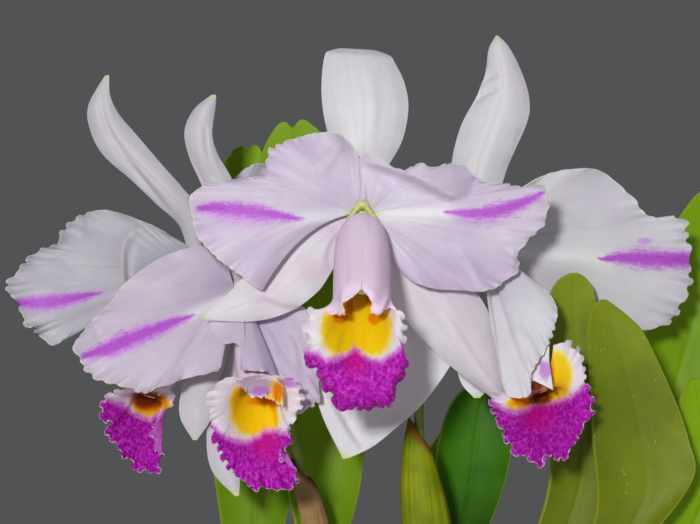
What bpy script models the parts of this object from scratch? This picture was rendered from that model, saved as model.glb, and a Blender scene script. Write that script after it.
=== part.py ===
"""A cattleya orchid in a plain pot: four blooms on two stems, over eight leaves.

The origin is the centre of the pot's underside. +Z is up, and the blooms face -Y.
Sizes are in millimetres until a mesh is made.
"""
import math
import random

import bmesh
import bpy
import numpy as np

MM = 0.001

# The front view: grid steps to the right and down, as an eye in front of the blooms sees them
PETAL_SPAN = 160.0
PETAL_SPAN_STEPS = 356.0
STEP = PETAL_SPAN / PETAL_SPAN_STEPS
EYE_DISTANCE = 744.0
EYE_HEIGHT = 430.0
GRID_CENTRE = (350.0, 262.0)

# Pot and what fills it
POT_HEIGHT = 130.0
POT_TOP_RADIUS = 75.0
POT_BASE_RADIUS = 58.0
POT_WALL = 4.0
POT_RIM_HEIGHT = 16.0
POT_RIM_PROUD = 3.0
DRAIN_HOLES = 4
DRAIN_RADIUS = 5.0
DRAIN_CIRCLE = 34.0
BARK_TOP = 117.0
BARK_RELIEF = 7.0
BARK_CELLS = 14

# Plant
GAP = 0.3
RHIZOME_RADIUS = 4.2
ROOT_RADIUS = 1.6
ROOT_DEPTH = 60.0
BULB_BELLY = 8.0
BULB_TOP_RADIUS = 6.4
BULB_BASE_RADIUS = 4.4
BULB_FURROWS = 6
BULB_FURROW_DEPTH = 0.05
BULB_LEAN = 1.2
LEAF_THICKNESS = 1.6
PETAL_THICKNESS = 0.8
LIP_THICKNESS = 0.8
SHEATH_THICKNESS = 0.8
STEM_RADIUS = 2.3
HUB_RADIUS = 5.2
OVARY_RADIUS = 2.6
OVARY_LENGTH = 11.0
STALK_STRAIGHT = 3.0
COLUMN_START = 5.8
COLUMN_SHAFT = 7.0
COLUMN_TIP_LENGTHS = (5.0, 1.5)
COLUMN_RADII = [2.9, 3.0, 3.1, 3.6, 3.4, 1.6]
COLUMN_RISE = 2.5
COLUMN_TIP_SHARE = 0.42
CAPPED_BLOOM = "a"
CAP_PLACE = (6.5, 2.0)
CAP_RADIUS = 2.7
ARM_PLACES = [(6.5, 2.0, 0.0), (3.5, 4.8, 4.3), (1.0, 7.7, 6.6)]
ARM_RADII = [1.4, 1.1, 0.9]
LIP_START = 10.5
LIP_BASE_RADIUS = 3.9
LIP_SWELL_POWER = 0.8
LIP_TOP_PUSH = 0.3
SEAM_HALF_GAP = 0.9
PETAL_ROOT_REACH = 0.03
SEPAL_ROOT_WIDTH = 2.0
SEPAL_ROOT_SETBACK = 2.0
LEAF_ROOT_WIDTH = 4.0
LEAF_ROOT_LIFT = 0.8
SHEATH_FOOT_WIDTH = 4.6
SHEATH_SLANT = 0.16
SET_BACK_LEAVES = (6, 8)
LEAF_SETBACK = 3.6
MERGE = 0.00002

# Mesh detail
PETAL_SPOKES = 22
PETAL_RINGS = 4
PETAL_WAVES = 8
SWEEP_POWER = 2
SEPAL_ROWS = 8
BLADE_COLUMNS = 4
LEAF_ROWS = 11
LIP_AROUND = 24
LIP_WAVES = 12
LIP_RUFFLE = 1.1
LIP_FULL_SPREAD = 30.0
LIP_TUBE_ROWS = 3
LIP_TUBE_CROWDING = 2.0
LIP_FLARE_ROWS = 4
SHEATH_ROWS = 6
SHEATH_AROUND = 12
STEM_POINTS = 19
STALK_POINTS = 10
ROUND_STEPS = 12
POT_STEPS = 40

# A bulb: base x and y on the bark, then x, y and z of its top
BULBS = {
    1: ((46, -2), (84, 6, 232)),
    2: ((38, 16), (60, 24, 240)),
    3: ((41, 39), (76, 60, 245)),
    4: ((56, 24), (98, 34, 228)),
    5: ((10, 44), (28, 74, 226)),
    6: ((20, 25), (38, 48, 262)),
    7: ((-38, 30), (-48, 66, 240)),
    8: ((-15, 22), (-14, 48, 258)),
}
RHIZOME_RUNS = [
    [(-50, 34), (-38, 30), (-15, 22), (3, 24), (20, 25), (38, 16), (46, -2), (50, -16)],
    [(38, 16), (48, 21), (56, 24)],
    [(38, 16), (42, 28), (41, 39)],
    [(20, 25), (16, 34), (10, 44)],
]
ROOT_PLACES = [(-44, 31.5), (-27, 26), (-6, 22.2), (12, 25), (29, 22), (43, 6)]

# A leaf's stations above its root: left x, y, right x, y, then depth at left, middle, right
LEAVES = {
    1: [(552, 640, 578, 626, 12, 15, 12), (577, 575, 640, 548, 15, 19, 15),
        (597, 510, 692, 482, 17, 22, 17), (593, 440, 689, 440, 19, 23, 19),
        (590, 385, 670, 388, 20, 23, 20), (587, 342, 645, 335, 20, 22, 20),
        (589, 322, 631, 319, 20, 22, 20), (593, 308, 618, 308, 20, 21, 20),
        (601, 300, 607, 300, 20, 20, 20)],
    2: [(502, 612, 540, 598, 26, 29, 26), (530, 550, 588, 535, 27, 31, 27),
        (550, 480, 612, 470, 28, 32, 28), (548, 400, 612, 400, 28, 31, 28),
        (547, 340, 604, 336, 28, 30, 28), (549, 302, 596, 301, 27, 29, 27),
        (554, 286, 592, 286, 27, 28, 27), (562, 277, 585, 277, 27, 27, 27),
        (570, 273, 578, 273, 27, 27, 27)],
    3: [(535, 590, 570, 572, 62, 66, 62), (585, 505, 650, 475, 70, 75, 70),
        (622, 420, 708, 400, 76, 81, 76), (644, 340, 734, 330, 80, 85, 80),
        (660, 270, 745, 262, 82, 86, 82), (674, 229, 749, 222, 83, 87, 83),
        (690, 203, 744, 199, 84, 86, 84), (705, 188, 733, 186, 84, 85, 84),
        (716, 181, 723, 181, 84, 84, 84)],
    4: [(590, 645, 618, 624, 37, 39, 37), (640, 575, 700, 545, 39, 43, 39),
        (668, 500, 742, 488, 40, 44, 40), (676, 440, 739, 440, 40, 43, 40),
        (680, 402, 717, 402, 39, 41, 39), (690, 379, 699, 379, 38, 38, 38)],
    5: [(402, 620, 436, 614, 88, 90, 88), (411, 560, 470, 550, 100, 104, 100),
        (420, 500, 482, 495, 110, 114, 110), (424, 460, 474, 458, 115, 118, 115),
        (440, 433, 458, 433, 118, 118, 118)],
    6: [(430, 560, 474, 556, 66, 69, 66), (434, 500, 503, 490, 80, 84, 80),
        (439, 440, 514, 428, 91, 95, 91), (455, 398, 512, 392, 96, 99, 96),
        (486, 374, 505, 373, 99, 99, 99)],
    7: [(232, 585, 268, 580, 78, 81, 78), (218, 500, 292, 490, 90, 95, 90),
        (205, 400, 290, 395, 98, 103, 98), (204, 300, 282, 298, 102, 107, 102),
        (211, 215, 272, 213, 104, 108, 104), (220, 172, 266, 170, 105, 107, 105),
        (226, 157, 264, 154, 105, 106, 105), (236, 146, 259, 144, 105, 105, 105)],
    8: [(304, 560, 340, 560, 62, 65, 62), (286, 480, 362, 474, 78, 83, 78),
        (270, 380, 360, 375, 88, 93, 88), (258, 280, 346, 278, 93, 98, 93),
        (254, 200, 338, 196, 95, 99, 95), (261, 158, 330, 152, 96, 98, 96),
        (268, 137, 322, 132, 96, 97, 96), (277, 122, 308, 118, 96, 96, 96)],
}

# Flower stems: each stalk's bloom, and its points in millimetres up to the bloom's back
STEMS = {
    1: [("a", [(38, 45.4, 262.6), (37, 45.6, 300), (33.5, 47, 340), (32.5, 49, 378), (30, 49, 404),
               (21, 43, 428), (11, 31, 445), (6.5, 20, 451)]),
        ("d", [(32.5, 49, 378), (37, 54, 404), (49, 56, 426), (58, 50, 436)])],
    2: [("b", [(-14, 45.4, 258.6), (-15.5, 45.8, 300), (-25, 50, 336), (-33, 56, 366),
               (-42, 59, 392), (-50, 57, 409)]),
        ("c", [(-33, 56, 366), (-45, 68, 388), (-60, 74, 410), (-71, 71, 424)])],
}
# Flower sheaths: the bulb that each stands on, its height and its half widths
SHEATHS = {
    1: {"bulb": 6, "height": 93.0, "wide": 11.5, "deep": 5.2},
    2: {"bulb": 8, "height": 78.0, "wide": 6.8, "deep": 4.8},
}

# Blooms, on the front view's grid. A point is x, y, depth. A sepal's station is left x, y,
# right x, y, then depth at left, middle and right. A lip's outline runs from the left of its
# seam, down and round, to the right of its seam. Its spacing pairs a share of the way round the
# tube with a share of the outline.
BLOOMS = {
    "a": {
        "hub": (362, 213, 1), "mouth": (362, 300, -40), "mouth_radius": 12.2, "seam": (0, -1, 0.9),
        "bulge": 14.0, "swell": 0.09, "slant": 3.0,
        "sepals": [
            [(357, 208, 368, 208, 3, 3, 3), (345, 165, 387, 168, 5, 3, 5), (330, 138, 402, 140, 7, 2, 7),
             (323, 108, 408, 108, 8, 2, 8), (322, 80, 404, 83, 11, 5, 11), (325, 56, 395, 64, 15, 10, 15),
             (331, 51, 389, 56, 18, 14, 18), (345, 49, 371, 50.5, 24, 21, 24),
             (361, 56, 365, 56, 31, 31, 31)],
            [(346, 208, 360, 228, 4, 3, 3), (302, 218, 337, 262, 6, 3, 4), (266, 248, 318, 291, 7, 4, 6),
             (246, 274, 288, 312, 8, 5, 7), (228, 294, 252, 321, 8, 6, 8), (202, 317, 205, 320, 8, 8, 8)],
            [(366, 228, 377, 221, 3, 3, 3), (384, 262, 412, 238, 5, 2, 5), (389, 292, 446, 262, 7, 2, 8),
             (408, 322, 480, 298, 8, 2, 9), (448, 363, 500, 344, 9, 3, 9), (484, 391, 505, 386, 9, 5, 8),
             (499, 403, 502, 401, 8, 8, 8)],
        ],
        "petals": [
            {"base": (357, 213, -1), "ruffle": 1.8, "bow": -3.0, "outline": [
                (360, 197, 0.8), (363, 178, 0.5), (360, 161, 0.5), (352, 147, 0), (341, 136, 0),
                (328, 132, -1), (300, 137, -3),
                (272, 148, -4), (267, 160, -3), (262, 174, -3), (250, 178, -4), (235, 180, -5),
                (215, 183, -5), (200, 188, -6), (190, 197, -6), (192, 215, -7), (197, 235, -8),
                (206, 247, -8), (222, 262, -8), (240, 275, -7), (254, 286, -4),
                (262, 290, -2)], "sweep": (-4, -16)},
            {"base": (369, 213, -1), "ruffle": 1.9, "bow": -3.0, "outline": [
                (362, 196, -2.5), (359, 176, -3), (360, 158, -3), (372, 154, -3), (400, 170, -3),
                (419, 164, -3),
                (434, 167, -3), (448, 164, -4), (466, 168, -4), (482, 182, -4), (501, 183, -5),
                (521, 187, -5), (542, 186, -5), (547, 196, -6), (546, 220, -7), (539, 230, -6),
                (527, 241, -5), (517, 254, -4), (519, 268, -3), (508, 279, -2), (487, 291, -4),
                (462, 290, -6), (431, 288, -7), (407, 277, -6), (389, 255, -5), (384, 236, -3),
                (377, 222, -2)]},
        ],
        "lip": [(361, 289, -50), (354, 296, -51), (346, 301, -51), (342, 305, -51), (345, 313, -50),
                (334, 315, -45), (322, 310, -44), (311, 310, -45), (305, 321, -47), (305, 335, -49),
                (309, 342, -49), (306, 349, -50), (302, 358, -50), (308, 366, -49), (317, 370, -48),
                (321, 384, -46), (330, 395, -45), (341, 410, -44), (356, 407, -44), (368, 413, -43),
                (380, 407, -44), (389, 406, -45), (397, 391, -46), (402, 381, -47), (407, 366, -49),
                (407, 352, -50), (403, 345, -49), (405, 326, -47), (399, 312, -45), (388, 308, -45),
                (380, 313, -50), (371, 312, -50), (372, 302, -51), (362, 289, -50)],
        "spacing": [(0, 0), (0.18, 0.085), (0.26, 0.165), (0.5, 0.5), (0.74, 0.835), (0.83, 0.93), (1, 1)],
    },
    "b": {
        "hub": (240, 290, 34), "mouth": (258, 389, 9), "mouth_radius": 8.6, "seam": (0.1, -1, 0.4),
        "bulge": 8.0,
        "sepals": [
            [(232, 283, 244, 281, 34, 33, 34), (216, 232, 240, 228, 32, 29, 31),
             (204, 190, 233, 183, 30, 26, 28), (190, 158, 218, 156, 28, 24, 26),
             (185, 132, 212, 134, 27, 23, 25), (194, 110, 215, 107, 26, 23, 25),
             (212, 95, 216, 95, 25, 25, 25)],
            [(230, 295, 238, 300, 38, 37, 38), (205, 340, 230, 346, 38, 36, 38),
             (184, 385, 217, 388, 33, 31, 33), (180, 415, 212, 416, 29, 27, 29),
             (193, 440, 197, 440, 27, 27, 27)],
            [(236, 300, 246, 298, 38, 38, 38), (226, 346, 252, 345, 42, 40, 42),
             (214, 395, 248, 395, 38, 36, 38), (207, 435, 243, 435, 32, 30, 32),
             (212, 470, 240, 468, 28, 26, 28), (235, 496, 239, 496, 25, 25, 25)],
        ],
        "petals": [
            {"base": (235, 290, 31), "ruffle": 1.7, "bow": -2.0, "outline": [
                (228, 268, 27), (202, 246, 20), (188, 248, 18), (163, 257, 15), (143, 269, 13),
                (122, 286, 11), (112, 300, 9), (93, 320, 6), (74, 345, 4), (78, 356, 4),
                (88, 373, 4), (104, 382, 4), (118, 385, 4), (145, 393, 5), (155, 388, 6),
                (169, 385, 7), (180, 380, 9), (200, 375, 11), (219, 369, 13), (225, 340, 19),
                (228, 312, 25)]},
            {"base": (243, 290, 31), "ruffle": 1.1, "bow": -6.0, "outline": [
                (238, 299, 24), (222, 315, 16), (210, 324, 12), (222, 343, 7), (235, 343, 5),
                (243, 351, 2), (245, 358, 0), (241, 369, -3), (254, 371, -3), (266, 372, -1),
                (278, 379, 4), (286, 396, 7), (294, 414, 8), (305, 410, 7), (320, 399, 8), (318, 384, 9),
                (326, 350, 12), (318, 322, 14), (292, 300, 19), (264, 285, 27)]},
        ],
        "lip": [(245, 380, -7), (228, 378, -9), (214, 386, -11), (208, 405, -12), (211, 425, -12),
                (215, 441, -12), (222, 457, -12), (229, 467, -12), (236, 475, -12), (248, 484, -11),
                (264, 490, -10), (276, 489, -9), (287, 491, -8), (297, 482, -7), (295, 469, -7),
                (284, 463, -8), (282, 452, -9), (292, 443, -9), (288, 431, -9), (293, 420, -9),
                (302, 405, -8), (299, 386, -8), (286, 376, -8), (270, 377, -8), (256, 379, -7)],
    },
    "c": {
        "hub": (195, 268, 48), "mouth": (150, 398, 36), "mouth_radius": 9.0, "seam": (-0.2, -1, 0.3),
        "bulge": 6.0,
        "sepals": [
            [(190, 260, 201, 255, 48, 47, 48), (180, 226, 199, 212, 47, 44, 46),
             (157, 204, 182, 188, 46, 41, 44), (132, 180, 160, 163, 45, 40, 43),
             (103, 154, 137, 136, 44, 39, 42), (90, 128, 119, 115, 43, 38, 41),
             (89, 105, 110, 96, 42, 39, 40), (105, 76, 109, 75, 41, 41, 41)],
            [(186, 271, 195, 277, 53, 52, 53), (160, 300, 186, 316, 57, 55, 57),
             (135, 335, 166, 354, 57, 55, 57), (120, 358, 146, 374, 54, 52, 54),
             (116, 377, 121, 380, 51, 51, 51)],
            [(192, 277, 202, 276, 54, 53, 54), (180, 320, 208, 320, 62, 60, 62),
             (176, 360, 204, 362, 63, 61, 63), (182, 392, 200, 393, 62, 60, 62),
             (190, 408, 194, 408, 60, 60, 60)],
        ],
        "petals": [
            {"base": (190, 267, 46), "ruffle": 1.9, "bow": -2.0, "outline": [
                (188, 252, 46), (170, 236, 43), (156, 227, 41), (125, 215, 38), (103, 210, 36),
                (85, 214, 34), (67, 225, 32), (54, 245, 30), (38, 250, 28), (24, 263, 27),
                (6, 287, 25), (18, 302, 25), (22, 318, 26), (33, 329, 27), (42, 337, 28),
                (51, 346, 29), (61, 341, 31), (77, 328, 33), (92, 322, 35), (125, 312, 39),
                (160, 296, 42), (180, 280, 44)]},
            {"base": (200, 266, 50), "ruffle": 1.4, "bow": 2.0, "outline": [
                (206, 250, 54), (215, 215, 60), (232, 182, 66), (255, 164, 71), (280, 168, 76),
                (300, 187, 79), (305, 215, 80), (292, 243, 78), (265, 258, 72), (235, 262, 64),
                (214, 264, 57)]},
        ],
        "lip": [(147, 388, 24), (136, 387, 23), (120, 390, 21), (108, 395, 20), (102, 403, 19),
                (101, 417, 18), (111, 425, 18), (108, 436, 18), (118, 448, 18), (127, 459, 19),
                (134, 468, 20), (145, 472, 21), (155, 473, 22), (160, 464, 23), (162, 455, 24),
                (154, 446, 25), (153, 431, 27), (160, 414, 30), (171, 406, 32), (175, 396, 33),
                (168, 389, 31), (157, 388, 27)],
    },
    "d": {
        "hub": (480, 245, 28), "mouth": (543, 393, 8), "mouth_radius": 7.4, "seam": (-0.1, -1, 0.4),
        "bulge": 8.0,
        "sepals": [
            [(475, 238, 486, 237, 28, 27, 28), (457, 200, 497, 200, 27, 23, 27),
             (452, 165, 508, 165, 28, 22, 27), (461, 127, 526, 124, 29, 23, 28),
             (476, 98, 529, 100, 30, 24, 29), (486, 72, 521, 72, 31, 26, 30),
             (489, 50, 509, 48, 32, 29, 31), (496, 36, 498, 36, 33, 33, 33)],
            [(471, 247, 480, 257, 31, 31, 31), (425, 262, 478, 312, 25, 27, 25),
             (375, 300, 452, 363, 20, 23, 20), (335, 345, 424, 402, 19, 21, 18),
             (317, 385, 396, 428, 17, 19, 16), (322, 415, 372, 447, 16, 18, 15),
             (343, 459, 349, 458, 15, 15, 15)],
            [(477, 253, 487, 253, 33, 33, 33), (462, 300, 500, 300, 36, 34, 36),
             (455, 345, 502, 345, 35, 33, 35), (460, 380, 492, 382, 32, 31, 32),
             (474, 398, 480, 398, 30, 30, 30)],
        ],
        "petals": [
            {"base": (484, 243, 28), "ruffle": 1.9, "bow": 3.0, "outline": [
                (490, 228, 28), (500, 205, 29), (522, 188, 31), (545, 175, 33), (572, 169, 35),
                (598, 170, 37), (616, 182, 38), (634, 199, 39), (645, 213, 40), (665, 222, 41),
                (672, 216, 41), (688, 224, 41), (686, 236, 41), (691, 250, 41), (689, 268, 42),
                (690, 286, 42), (672, 320, 43), (650, 329, 43), (610, 335, 42), (570, 325, 40),
                (535, 300, 37), (505, 268, 32)]},
            {"base": (483, 247, 24.5), "ruffle": 0.9, "bow": -5.0, "outline": [
                (479, 262, 18), (487, 294, 7), (492, 330, 1), (499, 365, -5), (506, 393, -9),
                (518, 398, -10), (530, 394, -10), (532, 373, -10), (547, 347, -9), (555, 325, -6),
                (557, 309, -3), (548, 292, 3), (530, 278, 9), (505, 258, 17)]},
        ],
        "lip": [(548, 348, -2), (538, 358, -1), (528, 376, 0), (508, 390, 0), (490, 399, -2),
                (494, 413, -6), (501, 428, -10), (507, 442, -13), (515, 453, -15), (526, 455, -15),
                (532, 463, -15), (539, 466, -15), (547, 455, -15), (558, 460, -15), (567, 454, -14),
                (576, 443, -12), (580, 428, -10), (590, 420, -8), (593, 402, -6), (586, 384, -5),
                (585, 365, -5), (578, 350, -5), (567, 343, -5), (556, 343, -3)],
    },
}

# Colour, roughness and metallic value of each finish
FINISHES = {
    "clay": ((0.44, 0.20, 0.11), 0.85, 0.0),
    "bark": ((0.16, 0.09, 0.05), 0.9, 0.0),
    "rhizome": ((0.28, 0.26, 0.10), 0.6, 0.0),
    "bulb": ((0.24, 0.33, 0.08), 0.45, 0.0),
    "leaf": ((0.16, 0.27, 0.03), 0.4, 0.0),
    "stem": ((0.33, 0.45, 0.12), 0.5, 0.0),
    "sheath_1": ((0.42, 0.50, 0.12), 0.55, 0.0),
    "sheath_2": ((0.45, 0.33, 0.16), 0.7, 0.0),
    "petals": ((0.88, 0.82, 0.90), 0.5, 0.0),
    "lip": ((0.42, 0.04, 0.42), 0.5, 0.0),
    "column": ((0.62, 0.66, 0.22), 0.45, 0.0),
}


def seen(x, y, depth):
    """The point in mm that the eye sees at a grid place, at a depth behind the front bloom."""
    spread = STEP * (1 + depth / EYE_DISTANCE)
    across = (x - GRID_CENTRE[0]) * spread
    height = EYE_HEIGHT - (y - GRID_CENTRE[1]) * spread
    return np.array([across, depth, height])


def unit(vector):
    return vector / np.linalg.norm(vector)


def smooth(points, count):
    """Points at even steps along a smooth curve through the given ones."""
    points = np.array(points, float)
    ends = np.vstack([2 * points[0] - points[1], points, 2 * points[-1] - points[-2]])
    fine = []
    for before, start, end, after in zip(ends, ends[1:], ends[2:], ends[3:]):
        for t in np.linspace(0, 1, 12, endpoint=False):
            pull = (end - before) * t
            bend = (2 * before - 5 * start + 4 * end - after) * t ** 2
            turn = (3 * start - before - 3 * end + after) * t ** 3
            fine.append(start + 0.5 * (pull + bend + turn))
    fine = np.array(fine + [points[-1]])
    run = np.concatenate([[0], np.cumsum(np.linalg.norm(np.diff(fine, axis=0), axis=1))])
    marks = np.linspace(0, run[-1], count)
    return np.column_stack([np.interp(marks, run, column) for column in fine.T])


def new_object(name, shape, collection):
    """An object from a bmesh, or from a mesh or curve that exists."""
    data = shape
    if isinstance(shape, bmesh.types.BMesh):
        data = bpy.data.meshes.new(name)
        shape.to_mesh(data)
        shape.free()
    made = bpy.data.objects.new(name, data)
    collection.objects.link(made)
    return made


def settle(made):
    """Turn the object, with its modifiers, into a plain mesh in place."""
    bpy.context.view_layer.update()
    graph = bpy.context.evaluated_depsgraph_get()
    mesh = bpy.data.meshes.new_from_object(made.evaluated_get(graph))
    made.modifiers.clear()
    made.data = mesh


def paint(made, finish):
    """Give the object a material of its own from the table of finishes."""
    colour, roughness, metallic = FINISHES[finish]
    material = bpy.data.materials.new(made.name)
    material.use_nodes = True
    shader = material.node_tree.nodes["Principled BSDF"]
    shader.inputs["Base Color"].default_value = (*colour, 1)
    shader.inputs["Roughness"].default_value = roughness
    shader.inputs["Metallic"].default_value = metallic
    made.data.materials.clear()
    made.data.materials.append(material)


def sheet(name, grid, thickness, collection):
    """A grid primitive moved onto rows of points, cut into triangles and thickened both ways."""
    rows = len(grid) - 1
    columns = len(grid[0]) - 1
    mesh = bmesh.new()
    bmesh.ops.create_grid(mesh, x_segments=rows, y_segments=columns, size=1)
    for vertex in mesh.verts:
        row = round((vertex.co.x + 1) / 2 * rows)
        column = round((vertex.co.y + 1) / 2 * columns)
        vertex.co = grid[row][column] * MM
    bmesh.ops.remove_doubles(mesh, verts=mesh.verts, dist=MERGE)
    bmesh.ops.triangulate(mesh, faces=mesh.faces)
    made = new_object(name, mesh, collection)
    wall = made.modifiers.new("Thickness", "SOLIDIFY")
    wall.thickness = thickness * MM
    wall.offset = 0
    return made


def tube(name, points, radii, collection, resolution=1):
    """A rod along points with a radius at each, as a closed mesh."""
    curve = bpy.data.curves.new(name, "CURVE")
    curve.dimensions = "3D"
    curve.bevel_depth = MM
    curve.bevel_resolution = resolution
    curve.use_fill_caps = True
    spline = curve.splines.new("POLY")
    spline.points.add(len(points) - 1)
    for knot, point, radius in zip(spline.points, points, radii):
        knot.co = (*(np.array(point, float) * MM), 1)
        knot.radius = radius
    guide = new_object(name + "_guide", curve, collection)
    bpy.context.view_layer.update()
    graph = bpy.context.evaluated_depsgraph_get()
    mesh = bpy.data.meshes.new_from_object(guide.evaluated_get(graph))
    made = new_object(name, mesh, collection)
    made.matrix_world = guide.matrix_world
    bpy.data.objects.remove(guide)
    closed = bmesh.new()
    closed.from_mesh(mesh)
    bmesh.ops.remove_doubles(closed, verts=closed.verts, dist=MERGE)
    bmesh.ops.recalc_face_normals(closed, faces=closed.faces)
    closed.to_mesh(mesh)
    closed.free()
    return made


def turned(name, profile, steps, collection):
    """A profile of radius and height, run down its outer side, turned round the Z axis."""
    mesh = bpy.data.meshes.new(name)
    corners = [(radius * MM, 0, height * MM) for radius, height in profile]
    mesh.from_pydata(corners, [(i, i + 1) for i in range(len(corners) - 1)], [])
    made = new_object(name, mesh, collection)
    screw = made.modifiers.new("Turn", "SCREW")
    screw.steps = steps
    screw.render_steps = steps
    screw.use_merge_vertices = True
    screw.merge_threshold = MERGE
    settle(made)
    return made


def ball(name, centre, radius, collection, sides=10):
    mesh = bmesh.new()
    bmesh.ops.create_uvsphere(mesh, u_segments=sides, v_segments=sides // 2 + 1, radius=radius * MM)
    bmesh.ops.translate(mesh, verts=mesh.verts, vec=centre * MM)
    return new_object(name, mesh, collection)


def post(name, centre, radius, top, bottom, collection, sides=8):
    """An upright cylinder, used as a root and as the cutter of its hole."""
    mesh = bmesh.new()
    bmesh.ops.create_cone(mesh, cap_ends=True, segments=sides, radius1=radius * MM,
                          radius2=radius * MM, depth=(top - bottom) * MM)
    place = (centre[0] * MM, centre[1] * MM, (top + bottom) / 2 * MM)
    bmesh.ops.translate(mesh, verts=mesh.verts, vec=place)
    return new_object(name, mesh, collection)


def keep_largest_body(made):
    """Fill what a union sealed in and drop loose scraps: only the largest closed body stays."""
    mesh = bmesh.new()
    mesh.from_mesh(made.data)
    unseen = set(mesh.faces)
    bodies = []
    while unseen:
        front = [unseen.pop()]
        body = set(front)
        while front:
            face = front.pop()
            near = {other for edge in face.edges for other in edge.link_faces} & unseen
            unseen -= near
            body |= near
            front += near
        bodies.append(body)
    bodies.sort(key=len)
    extra = [face for body in bodies[:-1] for face in body]
    bmesh.ops.delete(mesh, geom=extra, context="FACES")
    mesh.to_mesh(made.data)
    mesh.free()


def join(core, repeats, solver="EXACT"):
    """Unite a core with every object of a collection, which is then removed."""
    union = core.modifiers.new("Join", "BOOLEAN")
    union.operation = "UNION"
    union.operand_type = "COLLECTION"
    union.collection = repeats
    union.solver = solver
    settle(core)
    keep_largest_body(core)
    for piece in list(repeats.objects):
        bpy.data.objects.remove(piece)
    bpy.data.collections.remove(repeats)


def new_collection(name):
    made = bpy.data.collections.new(name)
    bpy.context.scene.collection.children.link(made)
    return made


def cut(made, cutters):
    """Take a collection of cutters out of the object."""
    for cutter in cutters.objects:
        cutter.hide_render = True
        cutter.display_type = "WIRE"
    hollow = made.modifiers.new("Cut", "BOOLEAN")
    hollow.operation = "DIFFERENCE"
    hollow.operand_type = "COLLECTION"
    hollow.collection = cutters
    hollow.solver = "EXACT"


def seen_row(left_x, left_y, right_x, right_y, left_depth, middle_depth, right_depth):
    """The left, middle and right points of a blade's station, in a row of nine numbers."""
    middle_x = (left_x + right_x) / 2
    middle_y = (left_y + right_y) / 2
    left = seen(left_x, left_y, left_depth)
    middle = seen(middle_x, middle_y, middle_depth)
    right = seen(right_x, right_y, right_depth)
    return np.concatenate([left, middle, right])


def blade_grid(stations, rows, columns):
    """Rows of points across a blade, curved through the left edge, the middle and the right."""
    grid = []
    for station in smooth(stations, rows + 1):
        left, middle, right = station[:3], station[3:6], station[6:]
        line = []
        for s in np.linspace(-1, 1, columns + 1):
            line.append(left * (s * s - s) / 2 + middle * (1 - s * s) + right * (s * s + s) / 2)
        grid.append(line)
    return grid


def sepal_stations(hub, rows):
    """A sepal's stations, from a root sunk in the back half of the hub."""
    stations = [seen_row(*row) for row in rows]
    across = unit(stations[0][6:] - stations[0][:3]) * SEPAL_ROOT_WIDTH
    root = hub + np.array([0, SEPAL_ROOT_SETBACK, 0])
    return [np.concatenate([root - across, root, root + across])] + stations


def petal_grid(petal, spokes, rings):
    """Rings of points from a petal's base out to its ruffled edge."""
    base_x, base_y, base_depth = petal["base"]
    edge = smooth(petal["outline"], spokes + 1)
    sweep_x, sweep_y = petal.get("sweep", (0, 0))
    grid = []
    for reach in np.linspace(PETAL_ROOT_REACH, 1, rings + 1):
        line = []
        for spoke, (x, y, depth) in enumerate(edge):
            wave = math.sin(2 * math.pi * PETAL_WAVES * spoke / spokes)
            lift = petal["bow"] * 4 * reach * (1 - reach) + petal["ruffle"] * reach ** 5 * wave
            bend = 4 * reach * (1 - reach) * (spoke / spokes) ** SWEEP_POWER
            line.append(seen(base_x + (x - base_x) * reach + sweep_x * bend,
                             base_y + (y - base_y) * reach + sweep_y * bend,
                             base_depth + (depth - base_depth) * reach + lift))
        grid.append(line)
    return grid


def lip_frame(bloom):
    """Hub and mouth of a lip, with the tube's axis, its seam side and the side left of that."""
    hub = seen(*bloom["hub"])
    mouth = seen(*bloom["mouth"])
    axis = unit(mouth - hub)
    seam = np.array(bloom["seam"], float)
    up = unit(seam - axis * seam.dot(axis))
    return hub, mouth, axis, up, np.cross(axis, up)


def lip_swell(bloom, along):
    """How wide a lip's tube is along it, from 0 at its start to 1 at its mouth."""
    if "swell" not in bloom:
        return math.sin(along * math.pi / 2)
    scale = bloom["swell"]
    full = 1 - math.exp(-(1 / scale) ** LIP_SWELL_POWER)
    return (1 - math.exp(-(along / scale) ** LIP_SWELL_POWER)) / full


def lip_edge(bloom):
    """The lip's outline, with a point for each column of its grid."""
    line = smooth([seen(*point) for point in bloom["lip"]], 10 * LIP_AROUND + 1)
    turns, shares = zip(*bloom.get("spacing", [(0, 0), (1, 1)]))
    places = np.interp(np.linspace(0, 1, LIP_AROUND + 1), turns, shares)
    even = np.linspace(0, 1, len(line))
    return np.column_stack([np.interp(places, even, column) for column in line.T])


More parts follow.
